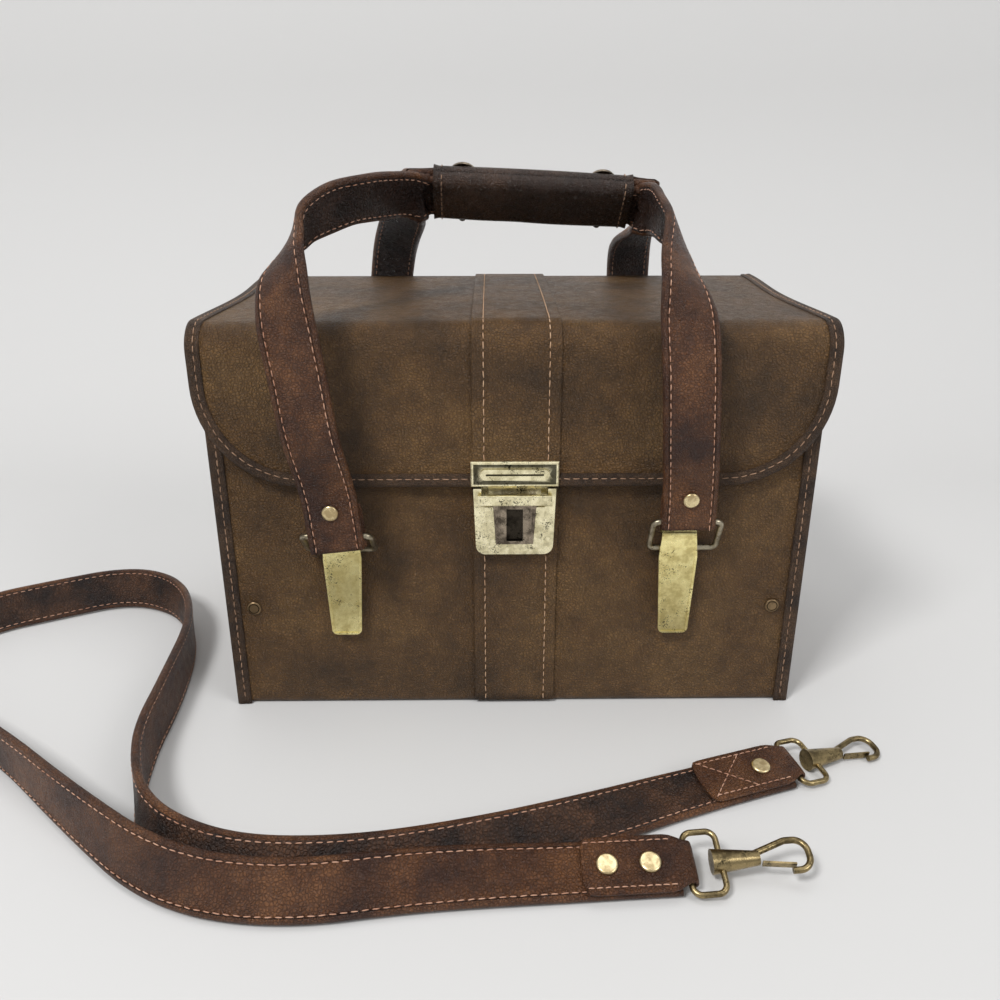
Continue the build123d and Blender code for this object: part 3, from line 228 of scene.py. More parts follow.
def leather(name, dark, mid, light, grain, depth, rough, mottle):
    """Grained vinyl or leather: mottled colour, pebbled grain with creases, worn high spots."""
    paint = Paint(name)
    clouds = paint.noise(mottle, 6, 0.68)
    base = paint.ramp(clouds, [(0.36, dark), (0.5, mid), (0.64, light)])
    streaks = paint.noise(mottle * 6, 8, 0.78)
    shade = paint.ramp(streaks, [(0.36, 0.62), (0.62, 1.22)])
    base = paint.blended(base, shade, 0.85, "MULTIPLY")
    bent = paint.warped(grain * 0.3, 0.0016)
    crease = paint.ramp(paint.cells(grain, bent), [(0.0, 0.0), (0.2, 1.0)])
    colour = paint.blended(dark, base, crease)
    paint.feed("Base Color", paint.blended(base, colour, 0.55))
    wrinkle = paint.noise(grain * 0.35, 9, 0.76, bent)
    paint.feed("Roughness", paint.ramp(wrinkle, [(0.38, rough[1]), (0.62, rough[0])]))
    paint.set("Specular IOR Level", 0.42)
    under = paint.bump(paint.noise(38, 3, 0.5), 0.45, 0.0026)
    under = paint.bump(wrinkle, 1.0, depth * 5.0, under)
    paint.feed("Normal", paint.bump(crease, 1.0, depth * 1.2, under))
    return paint.material


def metal(name, bright, dull, rough, pit_share, corner_shade):
    """Plated metal, tarnished in clouds, speckled with dark pits, with painted shade darkening its
    corners.
    """
    paint = Paint(name)
    clouds = paint.noise(150, 7, 0.7)
    base = paint.ramp(clouds, [(0.4, dull), (0.56, bright)])
    specks = paint.noise(1300, 5, 0.7)
    patches = paint.noise(156, 3, 0.6)
    spot = paint.blended(specks, patches, 0.4)
    mask = paint.ramp(spot, [(pit_share - 0.02, 0.0), (pit_share + 0.02, 1.0)])
    colour = paint.blended(base, PIT_COLOUR, mask)
    # Painted shade: corners and hollows, where pointiness is low, are multiplied darker.
    points = paint.nodes.new("ShaderNodeNewGeometry").outputs["Pointiness"]
    corner = paint.ramp(points, [(0.44, corner_shade), (0.495, 1.0)])
    paint.feed("Base Color", paint.blended(colour, corner, 1.0, "MULTIPLY"))
    paint.set("Metallic", 1.0)
    roughness = paint.ramp(clouds, [(0.3, rough[1]), (0.7, rough[0])])
    paint.feed("Roughness", paint.blended(roughness, (0.6, 0.6, 0.6), mask))
    under = paint.bump(paint.noise(500, 3, 0.6), 0.15, 0.0003)
    paint.feed("Normal", paint.bump(spot, 0.15, 0.0002, under))
    return paint.material


def thread(name, first, second):
    """Twisted sewing thread, a little soiled."""
    paint = Paint(name)
    stain = paint.noise(60, 4, 0.6)
    paint.feed("Base Color", paint.ramp(stain, [(0.35, first), (0.65, second)]))
    paint.set("Roughness", 0.75)
    paint.set("Sheen Weight", 0.2)
    paint.feed("Normal", paint.bump(paint.noise(3000, 2), 0.4, 0.0002))
    return paint.material


def cloth(name, dark, light):
    """Short-piled lining cloth."""
    paint = Paint(name)
    pile = paint.noise(1400, 4, 0.7)
    patches = paint.noise(22, 4, 0.6)
    base = paint.ramp(patches, [(0.35, dark), (0.65, light)])
    nap = paint.ramp(pile, [(0.3, 0.7), (0.7, 1.1)])
    paint.feed("Base Color", paint.blended(base, nap, 0.8, "MULTIPLY"))
    paint.set("Roughness", 0.92)
    paint.set("Sheen Weight", 0.5)
    paint.feed("Normal", paint.bump(pile, 0.6, 0.0005))
    return paint.material


PIT_COLOUR = (0.05, 0.042, 0.022)

# Dark, middle and light colour, grain, depth of the grain, range of roughness, mottle
LEATHERS = {
    "vinyl": (
        (0.060, 0.029, 0.008), (0.132, 0.065, 0.019), (0.195, 0.104, 0.033),
        700, 0.0004, (0.30, 0.5), 14,
    ),
    "edging": (
        (0.03, 0.014, 0.006), (0.082, 0.042, 0.018), (0.12, 0.064, 0.03),
        900, 0.0004, (0.38, 0.55), 40,
    ),
    "strap": (
        (0.036, 0.011, 0.004), (0.092, 0.032, 0.009), (0.165, 0.066, 0.022),
        700, 0.0003, (0.27, 0.46), 36,
    ),
    "backing": (
        (0.010, 0.004, 0.003), (0.026, 0.011, 0.007), (0.055, 0.026, 0.016),
        500, 0.0004, (0.22, 0.4), 60,
    ),
    # A darker copy of the strap leather for the shoulder strap's back face: painted shade.
    "strap_back": (
        (0.012, 0.005, 0.003), (0.046, 0.018, 0.007), (0.10, 0.042, 0.018),
        600, 0.0003, (0.3, 0.5), 50,
    ),
    "grip": (
        (0.016, 0.007, 0.004), (0.036, 0.017, 0.009), (0.07, 0.035, 0.019),
        800, 0.00025, (0.2, 0.36), 30,
    ),
}

# Bright and dull colour, range of roughness, level above which pits show, tone of the painted shade in
# the corners
METALS = {
    "brass": ((1.0, 0.88, 0.42), (0.72, 0.60, 0.25), (0.22, 0.42), 0.6, 0.85),
    "pale_brass": ((1.0, 0.92, 0.62), (0.66, 0.59, 0.36), (0.2, 0.4), 0.575, 0.12),
    "rivet_brass": ((0.86, 0.72, 0.42), (0.50, 0.38, 0.20), (0.2, 0.4), 0.64, 0.12),
    "steel": ((0.42, 0.37, 0.27), (0.18, 0.15, 0.10), (0.25, 0.45), 0.6, 0.12),
    "bronze": ((0.34, 0.26, 0.13), (0.12, 0.09, 0.045), (0.22, 0.42), 0.58, 0.12),
    "button": ((0.34, 0.28, 0.21), (0.10, 0.08, 0.06), (0.2, 0.42), 0.6, 0.12),
    "stud": ((0.26, 0.18, 0.10), (0.12, 0.08, 0.045), (0.3, 0.5), 0.66, 0.12),
}

THREADS = {
    "tan_thread": ((0.42, 0.24, 0.13), (0.56, 0.37, 0.23)),
    "pink_thread": ((0.36, 0.17, 0.10), (0.52, 0.30, 0.20)),
    "brown_thread": ((0.22, 0.12, 0.065), (0.38, 0.23, 0.14)),
}


def make_materials():
    mats = {"lining": cloth("lining", (0.11, 0.018, 0.014), (0.17, 0.03, 0.022))}
    for make, looks in ((leather, LEATHERS), (metal, METALS), (thread, THREADS)):
        for name, values in looks.items():
            mats[name] = make(name, *values)
    return mats


# Shapes

def new_mesh(name, points, faces, material):
    mesh = bpy.data.meshes.new(name)
    mesh.from_pydata([tuple(p) for p in points], [], faces)
    mesh.validate()
    mesh.update()
    for face in mesh.polygons:
        face.use_smooth = True
    piece = add(name, mesh)
    piece.data.materials.append(material)
    return piece


def curve_points(keys, steps):
    """A smooth line through the keys, each a tuple of numbers, with steps between two keys."""
    out = []
    last = len(keys) - 1
    for index in range(last):
        a = keys[max(index - 1, 0)]
        b = keys[index]
        c = keys[index + 1]
        d = keys[min(index + 2, last)]
        for step in range(steps):
            t = step / steps
            out.append(tuple(spline(w, x, y, z, t) for w, x, y, z in zip(a, b, c, d)))
    out.append(tuple(keys[-1]))
    return out


def spline(a, b, c, d, t):
    """The value at share t of the way from b to c, on a smooth line past a, b, c and d."""
    square = 2 * a - 5 * b + 4 * c - d
    cube = 3 * b - a - 3 * c + d
    return 0.5 * (2 * b + (c - a) * t + square * t * t + cube * t ** 3)


def arc(first, last, step):
    """Angles in radians, from a first to a last angle in degrees."""
    return [math.radians(degrees) for degrees in range(first, last + 1, step)]


def tangents(points):
    """The direction of a line at each of its points."""
    last = len(points) - 1
    return [(points[min(i + 1, last)] - points[max(i - 1, 0)]).normalized() for i in range(last + 1)]


class Line:
    """A strip's middle line with the directions across it and out of its face."""

    def __init__(self, points, across, face=None):
        self.points = [Vector(p) for p in points]
        self.along = tangents(self.points)
        self.across = []
        self.face = []
        for index, along in enumerate(self.along):
            side = Vector(across[index])
            side = (side - along * side.dot(along)).normalized()
            self.across.append(side)
            normal = side.cross(along).normalized()
            if face is not None and normal.dot(Vector(face[index])) < 0:
                normal = -normal
            self.face.append(normal)

    def at(self, index, side, out):
        """The point so far to the side of a middle point and so far out of the face."""
        return self.points[index] + self.across[index] * side + self.face[index] * out

    def offset(self, side, out):
        return [self.at(i, side, out) for i in range(len(self.points))]


def tube_faces(rings, count, first=0, closed=True):
    """Faces between rings of count points, numbered from first, and over both ends if closed."""
    faces = []
    for row in range(rings - 1):
        low = first + row * count
        for column in range(count if closed else count - 1):
            after = (column + 1) % count
            faces.append((low + column, low + after, low + count + after, low + count + column))
    if closed:
        top = first + (rings - 1) * count
        faces.append(tuple(range(first + count - 1, first - 1, -1)))
        faces.append(tuple(range(top, top + count)))
    return faces


def skin(name, rings, material, closed=True, backing=None):
    """A surface through rings of points of equal count. The last three columns can be the backing."""
    count = len(rings[0])
    points = [p for ring in rings for p in ring]
    faces = tube_faces(len(rings), count, closed=closed)
    piece = new_mesh(name, points, faces, material)
    if backing is not None:
        piece.data.materials.append(backing)
        for number in range((len(rings) - 1) * count):
            if number % count >= count - 3:
                piece.data.polygons[number].material_index = 1
    return piece


def sheet(name, rows, thick, material):
    """A sheet of even thickness. Rows of points of equal count are its outer face."""
    width = len(rows[0])
    points = [p for row in rows for p in row]
    faces = []
    for row in range(len(rows) - 1):
        for column in range(width - 1):
            low = row * width + column
            faces.append((low, low + width, low + width + 1, low + 1))
    piece = new_mesh(name, points, faces, material)
    solid = piece.modifiers.new("thickness", "SOLIDIFY")
    solid.thickness = thick
    solid.offset = -1.0
    return piece


def subdivide(piece):
    modifier = piece.modifiers.new("smooth", "SUBSURF")
    modifier.levels = 1
    modifier.render_levels = 1


def flat_profile(half, thick, flat, edge):
    """The section of a flat band with bevelled edges, from its half width and half thickness."""
    shares = (
        (-1, -edge), (-1, edge), (-flat, 1), (flat, 1),
        (1, edge), (1, -edge), (flat, -1), (-flat, -1),
    )
    return [(half * side, thick * rise) for side, rise in shares]


def strip_profile(width, thick, seam, crown):
    """Half-round edges, a slightly crowned face and a shallow furrow under each stitch row."""
    half = width / 2
    edge = thick / 2
    lip = 0.0007
    profile = []
    for angle in arc(-90, 90, 30):
        profile.append((half - edge + edge * math.cos(angle), edge * math.sin(angle)))
    right = [half - edge - 0.0008, half - seam + lip, half - seam, half - seam - lip, half * 0.4]
    for side in right + [0.0] + [-side for side in reversed(right)]:
        rise = edge + crown * (1 - (side / half) ** 2)
        if abs(abs(side) - (half - seam)) < 0.0001:
            rise -= FURROW
        profile.append((side, rise))
    for angle in arc(90, 270, 30):
        profile.append((-half + edge + edge * math.cos(angle), edge * math.sin(angle)))
    for side in (-half * 0.4, half * 0.4):
        profile.append((side, -edge))
    return profile


def strip(name, line, material, width, thick, seam, crown=0.0, backing=None):
    """A sewn strip along a line. The seam is the stitch rows' distance from its edges."""
    profile = strip_profile(width, thick, seam, crown)
    rings = [[line.at(i, side, out) for side, out in profile] for i in range(len(line.points))]
    return skin(name, rings, material, backing=backing)


def even(points, spacing):
    """Points evenly spaced along a line, with the direction and the original place of each."""
    out = []
    reach = spacing / 2
    travelled = 0.0
    for index in range(len(points) - 1):
        a = points[index]
        b = points[index + 1]
        length = (b - a).length
        while length > 0 and reach <= travelled + length:
            share = (reach - travelled) / length
            out.append((a.lerp(b, share), (b - a).normalized(), index + share))
            reach += spacing
        travelled += length
    return out


def stitch_points(spot, along, normal, length, chance):
    """The rings of one stitch, a little turned, with thin ends that dip into the leather."""
    normal = (normal - along * normal.dot(along)).normalized()
    turn = chance.uniform(-0.10, 0.10)
    along = (along + along.cross(normal) * turn).normalized()
    across = along.cross(normal)
    half = length / 2 * chance.uniform(0.9, 1.06)
    points = []
    for reach, size, lift in STITCH_SHAPE:
        for step in range(STITCH_SIDES):
            angle = 2 * math.pi * step / STITCH_SIDES
            side = across * (math.cos(angle) * STITCH_RADIUS * size)
            rise = normal * ((math.sin(angle) * size + lift) * STITCH_RADIUS)
            points.append(spot + along * (half * reach) + side + rise)
    return points


def stitches(name, rows, material, gauge, seed, body, slot_name):
    """Rows of single stitches. A row is its points and the surface normals there."""
    spacing, length = gauge
    chance = random.Random(seed)
    points = []
    faces = []
    for row, normals in rows:
        for spot, along, place in even(row, spacing):
            normal = Vector(normals[min(int(place), len(normals) - 1)])
            faces += tube_faces(len(STITCH_SHAPE), STITCH_SIDES, len(points))
            points += stitch_points(spot, along, normal, length, chance)
    piece = new_mesh(name, points, faces, material)
    carry(piece, body, slot_name)
    return piece


def both_faces(line, side, out):
    """Stitch rows along both edges, on the front and on the back of a strip."""
    rows = []
    for edge in (-1, 1):
        for face in (-1, 1):
            rows.append((line.offset(edge * side, face * out), [n * face for n in line.face]))
    return rows


def carry(piece, body, slot_name, *nodes):
    """The piece moves with the body and stands for the nodes. The slot name is not used."""
    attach(piece, body)
    if nodes:
        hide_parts(*nodes)


# Shoulder strap. The route repeats the solid's: x and y in millimetres and the lean in degrees.

SHOULDER_ROUTE = [
    (65, -211, 70), (22, -213.5, 70), (-42, -219.5, 52), (-98, -229.5, 42),
    (-148, -219.5, 32), (-198, -181, 15), (-256, -131, 0), (-316, -92, 0),
    (-352, -50, 0), (-329, -3, -15), (-293, 19, -25), (-252, 40, -28),
    (-213, 22, -12), (-191, -22, 0), (-184, -84, 12), (-182, -142, 8),
    (-165, -190, -15), (-127, -213.5, -36), (-78, -216, -42), (-26, -205, -52),
    (35, -183, -66), (83, -160.5, -80), (128.5, -145, -80),
]


def spline_through(name, points):
    """Points along the NURBS spline that has the route as its control points."""
    curve = bpy.data.curves.new(name, "CURVE")
    curve.dimensions = "3D"
    curve.resolution_u = 14
    line = curve.splines.new("NURBS")
    line.points.add(len(points) - 1)
    for point, place in zip(line.points, points):
        point.co = (*place, 1.0)
    line.order_u = 3
    line.use_endpoint_u = True
    holder = add(name, curve)
    mesh = bpy.data.meshes.new_from_object(holder)
    found = [vertex.co.copy() for vertex in mesh.vertices]
    bpy.data.objects.remove(holder)
    return found


def lean_at(point):
    """The lean at the route's place nearest to the point."""
    best = None
    for first, second in zip(SHOULDER_ROUTE, SHOULDER_ROUTE[1:]):
        a = Vector(first[:2])
        span = Vector(second[:2]) - a
        offset = Vector(point[:2]) / MM - a
        share = max(0.0, min(1.0, offset.dot(span) / span.dot(span)))
        miss = (offset - span * share).length
        if best is None or miss < best[0]:
            best = (miss, first[2] + (second[2] - first[2]) * share)
    return math.radians(best[1])


def smooth(values, times):
    """The values, each drawn towards its neighbours so many times."""
    for _ in range(times):
        values = [
            (values[max(i - 1, 0)] + values[i] * 2 + values[min(i + 1, len(values) - 1)]) / 4
            for i in range(len(values))
        ]
    return values


def shoulder_line():
    """The strap's middle line, lying on its lower edge, with its lean."""
    found = spline_through("shoulder_route", [(x * MM, y * MM, 0) for x, y, lean in SHOULDER_ROUTE])
    leans = smooth([lean_at(p) for p in found], 12)
    along = tangents(found)
    points = []
    across = []
    for point, lean, heading in zip(found, leans, along):
        right = heading.cross(UP).normalized()
        width = right * math.sin(lean) + UP * math.cos(lean)
        half_height = SHOULDER_WIDTH / 2 * math.cos(lean) + SHOULDER_THICK / 2 * abs(math.sin(lean))
        points.append(Vector((point.x, point.y, half_height + 0.0002)))
        across.append(width)
    return Line(points, across)


def snap_frame(end):
    """Where a strap end's eye is: along the strap, across it and out of its top face."""
    route = SHOULDER_ROUTE if end == "a" else SHOULDER_ROUTE[::-1]
    x, y, lean = route[0]
    heading = Vector((x - route[1][0], y - route[1][1], 0)).normalized()
    sideways = heading.cross(UP).normalized()
    angle = math.radians(abs(lean))
    width = UP * math.cos(angle) - sideways * math.sin(angle)
    face = heading.cross(width)
    height = SHOULDER_WIDTH / 2 * math.cos(angle) + SHOULDER_THICK / 2 * math.sin(angle) + 0.0002
    lift = FOLD_EYE - SHOULDER_THICK / 2 + 0.0001
    origin = Vector((x * MM, y * MM, height)) + heading * (FOLD_EYE + 0.0006) + face * lift
    return origin, heading, width, face


def fold_path(end, low):
    """The fold seen from its edge: distances along the strap and out of its face."""
    radius = FOLD_EYE - FOLD_HALF_THICK
    path = []
    for angle in arc(-90, 60, 15):
        path.append((radius * math.cos(angle), radius * math.sin(angle)))
    path += [(-0.001, low + 0.0004), (-0.006, low)]
    run = FOLD_LENGTH[end] - 0.006
    path += [(-0.006 - run * step / 8, low) for step in range(1, 9)]
    return path


def make_fold(end, mats):
    """The strap's end, wrapped round the loop's bar and sewn back on itself."""
    origin, heading, width, face = snap_frame(end)
    low = SHOULDER_THICK - FOLD_EYE + 0.0016
    path = fold_path(end, low)
    rings = []
    for index, (u, w) in enumerate(path):
        middle = origin + heading * u + face * w
        half = SHOULDER_WIDTH / 2 if u < -0.005 else 0.0092
        if index == len(path) - 1:
            half -= 0.0004
        out = middle - origin
        normal = face if u < -0.0005 else (out - width * out.dot(width)).normalized()
        section = flat_profile(half, FOLD_HALF_THICK, 0.94, 0.6)
        rings.append([middle + width * side + normal * rise for side, rise in section])
    name = "strap_fold_" + end
    body = "shoulder_strap_body"
    piece = skin(name + "_leather", rings, mats["strap"])
    subdivide(piece)
    carry(piece, body, "strap_leather", name)
    rows = fold_rows(end, origin + face * (low + 0.0012), heading, width, face)
    name += "_stitches"
    sewing = stitches(name, rows, mats["pink_thread"], FOLD_STITCH, 5, body, "strap_leather")
    return [piece, sewing]


def fold_rows(end, origin, heading, width, face):
    """A row of stitches along each side and, on the end with one rivet, a crossing pair."""
    half = SHOULDER_WIDTH / 2 - 0.0028
    far = 0.002 - FOLD_LENGTH[end]
    pairs = [((-0.006, side), (far, side)) for side in (-half, half)]
    if end == "b":
        pairs += [((-0.024, half), (-0.046, -half)), ((-0.024, -half), (-0.046, half))]
    return [([origin + heading * u + width * v for u, v in pair], [face, face]) for pair in pairs]


def make_shoulder_strap(mats):
    line = shoulder_line()
    # The back face takes a darker copy of the strap leather: painted shade.
    belt = strip(
        "shoulder_strap_leather", line, mats["strap"], SHOULDER_WIDTH, SHOULDER_THICK,
        SHOULDER_SEAM, backing=mats["strap_back"],
    )
    carry(belt, "shoulder_strap_body", "strap_leather", "shoulder_strap")
    rows = both_faces(line, SHOULDER_WIDTH / 2 - SHOULDER_SEAM, SHOULDER_THICK / 2 - SINK)
    sewing = stitches(
        "shoulder_strap_stitches", rows, mats["pink_thread"], SHOULDER_STITCH, 3,
        "shoulder_strap_body", "strap_leather",
    )
    pieces = [sewing] + make_fold("a", mats) + make_fold("b", mats)


# Lid

def lid_profile():
    """Points of the lid's outer face from the back edge to the flap's lower edge: y, z, normal."""
    out = []
    for step in range(15):
        y = LID_BACK + (FLAP_Y + LID_RADIUS - LID_BACK) * step / 14
        out.append((y, LID_TOP, 0.0, 1.0))
    for angle in arc(10, 80, 10):
        y = FLAP_Y + LID_RADIUS - LID_RADIUS * math.sin(angle)
        z = LID_TOP - LID_RADIUS + LID_RADIUS * math.cos(angle)
        out.append((y, z, -math.sin(angle), math.cos(angle)))
    straight = FLAP_BOTTOM + FLAP_CORNER
    for step in range(5):
        z = LID_TOP - LID_RADIUS + (straight - LID_TOP + LID_RADIUS) * step / 4
        out.append((FLAP_Y, z, -1.0, 0.0))
    for angle in arc(5, 90, 5):
        z = straight - FLAP_CORNER * math.sin(angle)
        out.append((FLAP_Y, z, -1.0, 0.0))
    return out


def lid_half_at(y, z):
    """Half the lid's width: its top edges sag in a little, its flap's corners are round."""
    straight = FLAP_BOTTOM + FLAP_CORNER
    if z < straight:
        drop = min(FLAP_CORNER, straight - z)
        return LID_HALF - FLAP_CORNER + math.sqrt(FLAP_CORNER ** 2 - drop ** 2)
    share = (y - FLAP_Y) / (LID_BACK - FLAP_Y)
    return LID_HALF - LID_WAIST * math.sin(math.pi * share) ** 2


def lid_sag(y, nz):
    """How much higher the lid's top is in its middle."""
    return LID_SAG * max(0.0, nz) * math.sin(math.pi * (y - FLAP_Y) / (LID_BACK - FLAP_Y))


def make_lid(mats):
    rows = []
    for y, z, ny, nz in lid_profile():
        half = lid_half_at(y, z)
        row = []
        for column in range(45):
            share = column / 22 - 1
            row.append(Vector((half * share, y, z + lid_sag(y, nz) * (1 - share * share))))
        rows.append(row)
    lid = sheet("lid_vinyl", rows, LID_BOARD, mats["vinyl"])
    carry(lid, "lid", "vinyl", "lid_shell")


def lid_edge():
    """The lid's outline from back to back over the flap's lower edge: points and normals."""
    right = []
    for y, z, ny, nz in lid_profile():
        right.append((Vector((lid_half_at(y, z), y, z)), Vector((0, ny, nz))))
    left = [(Vector((-p.x, p.y, p.z)), n) for p, n in reversed(right)]
    middle = []
    half = LID_HALF - FLAP_CORNER
    for step in range(1, 24):
        x = half - 2 * half * step / 24
        middle.append((Vector((x, FLAP_Y, FLAP_BOTTOM)), Vector((0, -1, 0))))
    return right + middle + left


# Section of the lid's edging in millimetres: inwards and out of the lid's face
LID_EDGING = [
    (6.2, 0.1), (6, 0.7), (4, 0.9), (3.4, 0.6), (2.8, 0.9),
    (0.8, 1.1), (-0.5, 0.6), (-1, -0.6), (-0.8, -1.9), (0.2, -2.7),
    (3, -2.8), (5.2, -2.7),
]


def make_lid_edging(mats):
    """The folded strip round the lid's edge, and its stitches."""
    edge = lid_edge()
    normals = [n for p, n in edge]
    rings = []
    row = []
    for (point, normal), heading in zip(edge, tangents([p for p, n in edge])):
        inward = normal.cross(heading).normalized()
        if inward.dot(Vector((0, 0, 0.17)) - point) < 0:
            inward = -inward
        rings.append([point + (inward * a + normal * b) * MM for a, b in LID_EDGING])
        row.append(point + inward * 0.0034 + normal * 0.0007)
    edging = skin("lid_edging", rings, mats["edging"])
    carry(edging, "lid", "vinyl", "lid_binding")
    rows = [(row, normals)]
    stitches("lid_edge_stitches", rows, mats["brown_thread"], EDGE_STITCH, 11, "lid", "vinyl")


def make_band(name, body, points, normals, seed, mats):
    """One sewn strip with its two rows of stitches."""
    line = Line(points, [Vector((1, 0, 0))] * len(points), normals)
    piece = strip(name + "_vinyl", line, mats["vinyl"], BAND_WIDTH, BAND_THICK, BAND_SEAM)
    carry(piece, body, "vinyl", name)
    out = BAND_THICK / 2 - SINK
    rows = [(line.offset(side * (BAND_WIDTH / 2 - BAND_SEAM), out), line.face) for side in (-1, 1)]
    stitches(name + "_stitches", rows, mats["tan_thread"], EDGE_STITCH, seed, body, "vinyl")


def make_bands(mats):
    """The sewn strip down the middle of the lid and of the body's front."""
    points = []
    normals = []
    for y, z, ny, nz in lid_profile():
        if z < FLAP_BOTTOM + 0.0035:
            break
        normal = Vector((0, ny, nz))
        points.append(Vector((BAND_X, y, z + lid_sag(y, nz))) + normal * 0.0006)
        normals.append(normal)
    make_band("lid_band", "lid", points, normals, 21, mats)
    tall = BODY_FRONT_TOP - 0.003
    points = [Vector((BAND_X, -HALF_DEPTH - 0.0006, 0.0022 + tall * s / 30)) for s in range(31)]
    make_band("front_band", "case", points, [Vector((0, -1, 0))] * 31, 22, mats)


# Body edges

# Section of the upright edging in millimetres: out of the end and out of the wall
END_EDGING = [
    (-6.8, 0), (-6.6, 0.8), (-4.2, 1), (-3.6, 0.7), (-3, 1),
    (-0.8, 1.1), (0.4, 0.8), (0.9, -0.2), (1, -3), (0.7, -3.6),
    (1, -4.2), (0.8, -6.6), (0, -6.8),
]


def upright_edging(name, corner, out_x, out_y, tall, mats):
    """The strip folded over one upright edge. Its border on the wall is a little wavy."""
    rings = []
    for step in range(41):
        middle = corner + UP * (0.0004 + tall * step / 40)
        wave = 0.25 * math.sin(step * 1.7 + out_x.x)
        section = [(a, b + wave if a < -6 else b) for a, b in END_EDGING]
        rings.append([middle + (out_x * a + out_y * b) * MM for a, b in section])
    return skin(name, rings, mats["edging"])


def make_end_edging(side, mats):
    """The strips folded over the front, rear and bottom edge of one end."""
    end = END[side]
    out_x = Vector((side, 0, 0))
    rows = []
    made = []
    for front, tall in ((-1, 0.1971), (1, 0.2014)):
        corner = Vector((side * HALF_WIDTH, front * HALF_DEPTH, 0))
        out_y = Vector((0, front, 0))
        name = "end_edging_%s_%s" % (end, WALL[front])
        made.append(upright_edging(name, corner, out_x, out_y, tall, mats))
        heights = [UP * (0.004 + 0.19 * s / 20) for s in range(21)]
        rows.append(([corner + out_x * -0.0036 + out_y * 0.0008 + h for h in heights], [out_y] * 21))
        rows.append(([corner + out_x * 0.0008 + out_y * -0.0036 + h for h in heights], [out_x] * 21))
    points = [Vector((side * (HALF_WIDTH + 0.0005), 0.149 * s / 20 - 0.0745, 0.0036)) for s in range(21)]
    line = Line(points, [UP] * 21, [out_x] * 21)
    made.append(strip("end_edging_%s_bottom" % end, line, mats["edging"], 0.0066, 0.001, 0.0033))
    rows.append(([p + out_x * 0.0004 for p in points], [out_x] * 21))
    for piece in made:
        carry(piece, "case", "vinyl", "end_binding_" + end)
    name = "end_edge_stitches_" + end
    stitches(name, rows, mats["brown_thread"], EDGE_STITCH, 31 + side, "case", "vinyl")


# Carrying straps

def ring_top(side, tilt):
    """Where the upper bar of a hanging ring is: y and z."""
    return side * (PIVOT_Y + RING_RISE * math.sin(tilt)), RING_PIVOT_Z + RING_RISE * math.cos(tilt)


def grip_centre(x, side):
    """Middle of a strap inside the grip."""
    shift = (STRAP_THICK + 0.0005) / 2 + 0.00015
    tilt = math.radians(45)
    y = side * shift * math.cos(tilt)
    z = LID_TOP + GRIP_RISE - (x - GRIP_LEFT) * GRIP_SLOPE + side * shift * math.sin(tilt)
    return x, y, z


# The grip's upper edge leans to the front. A strap's outer edge points down
# inside the grip at the front and up at the rear.
GRIP_UP = Vector((0.0, -0.7071, 0.7071))

# The straps' middle lines, from the left ring over the grip to the right ring. A key says what
# it is measured from (the ring's top, the lid's upper edge or the grip's end), its millimetres
# to the right of the hook or the grip's end, outwards and up, and where the outer edge points.
FRONT_LEFT = [
    ("ring", 0.8, 2, -7, -1, 0, 0),
    ("ring", -1.4, 1, 14, -1, 0, 0),
    ("ring", -3.2, 1.5, 27, -1, 0, 0),
    ("lid", -7.5, 25, -48, -1, 0, 0),
    ("lid", -11.3, 24, -20, -1, 0, 0),
    ("lid", -14.3, 22, 0, -1, 0.03, 0),
    ("lid", -15.6, 19.5, 12, -0.95, 0.25, 0.05),
    ("lid", -16, 15, 22.3, -0.85, 0.5, 0),
    ("lid", -15, 7.5, 31.5, -0.6, 0.72, -0.3),
    ("lid", -12.8, 0, 37.5, -0.34, 0.8, -0.49),
    ("lid", -10, -6, 42.2, -0.11, 0.69, -0.71),
    ("lid", -5.5, -13, 46.8, -0.15, 0.52, -0.84),
    ("lid", 2.2, -25, 50.3, -0.13, 0.45, -0.88),
    ("grip", -32.7, 40.3, -1.2, -0.13, 0.6, -0.8),
    ("grip", -23, 24.3, -0.3, -0.1, 0.65, -0.76),
    ("grip", -14.5, 11.3, 0, -0.05, 0.69, -0.72),
    ("grip", -7.5, 3.5, -0.8, 0, 0.7, -0.71),
    ("grip", -2, 0, 0, 0, 0.7071, -0.7071),
    ("grip", 51.5, 0, 0, 0, 0.7071, -0.7071),
]
FRONT_RIGHT = [
    ("grip", 2, 0, 0, 0, 0.7071, -0.7071),
    ("grip", 6, 4, -1.8, 0, 0.68, -0.73),
    ("grip", 8.6, 13.3, -0.6, 0.05, 0.5, -0.86),
    ("grip", 10, 25.3, -0.6, 0.07, 0.42, -0.9),
    ("grip", 11.5, 37.3, -3.2, 0.15, 0.42, -0.9),
    ("lid", -6.5, -28, 39.8, 0.36, 0.53, -0.76),
    ("lid", -6, -17.5, 33.3, 0.54, 0.64, -0.54),
    ("lid", -6.5, -6, 25.5, 0.73, 0.54, -0.42),
    ("lid", -5.5, 5.5, 15, 0.88, 0.27, -0.3),
    ("lid", -4.5, 15, 0, 1, 0, 0),
    ("lid", -3.5, 21, -20, 1, 0, 0),
    ("lid", -2, 22, -44, 1, 0, 0),
    ("ring", 0.5, 5, 28, 1, 0, 0),
    ("ring", 1.7, 2, 13, 1, 0, 0),
    ("ring", 2, 1.5, -3, 1, 0, 0),
]
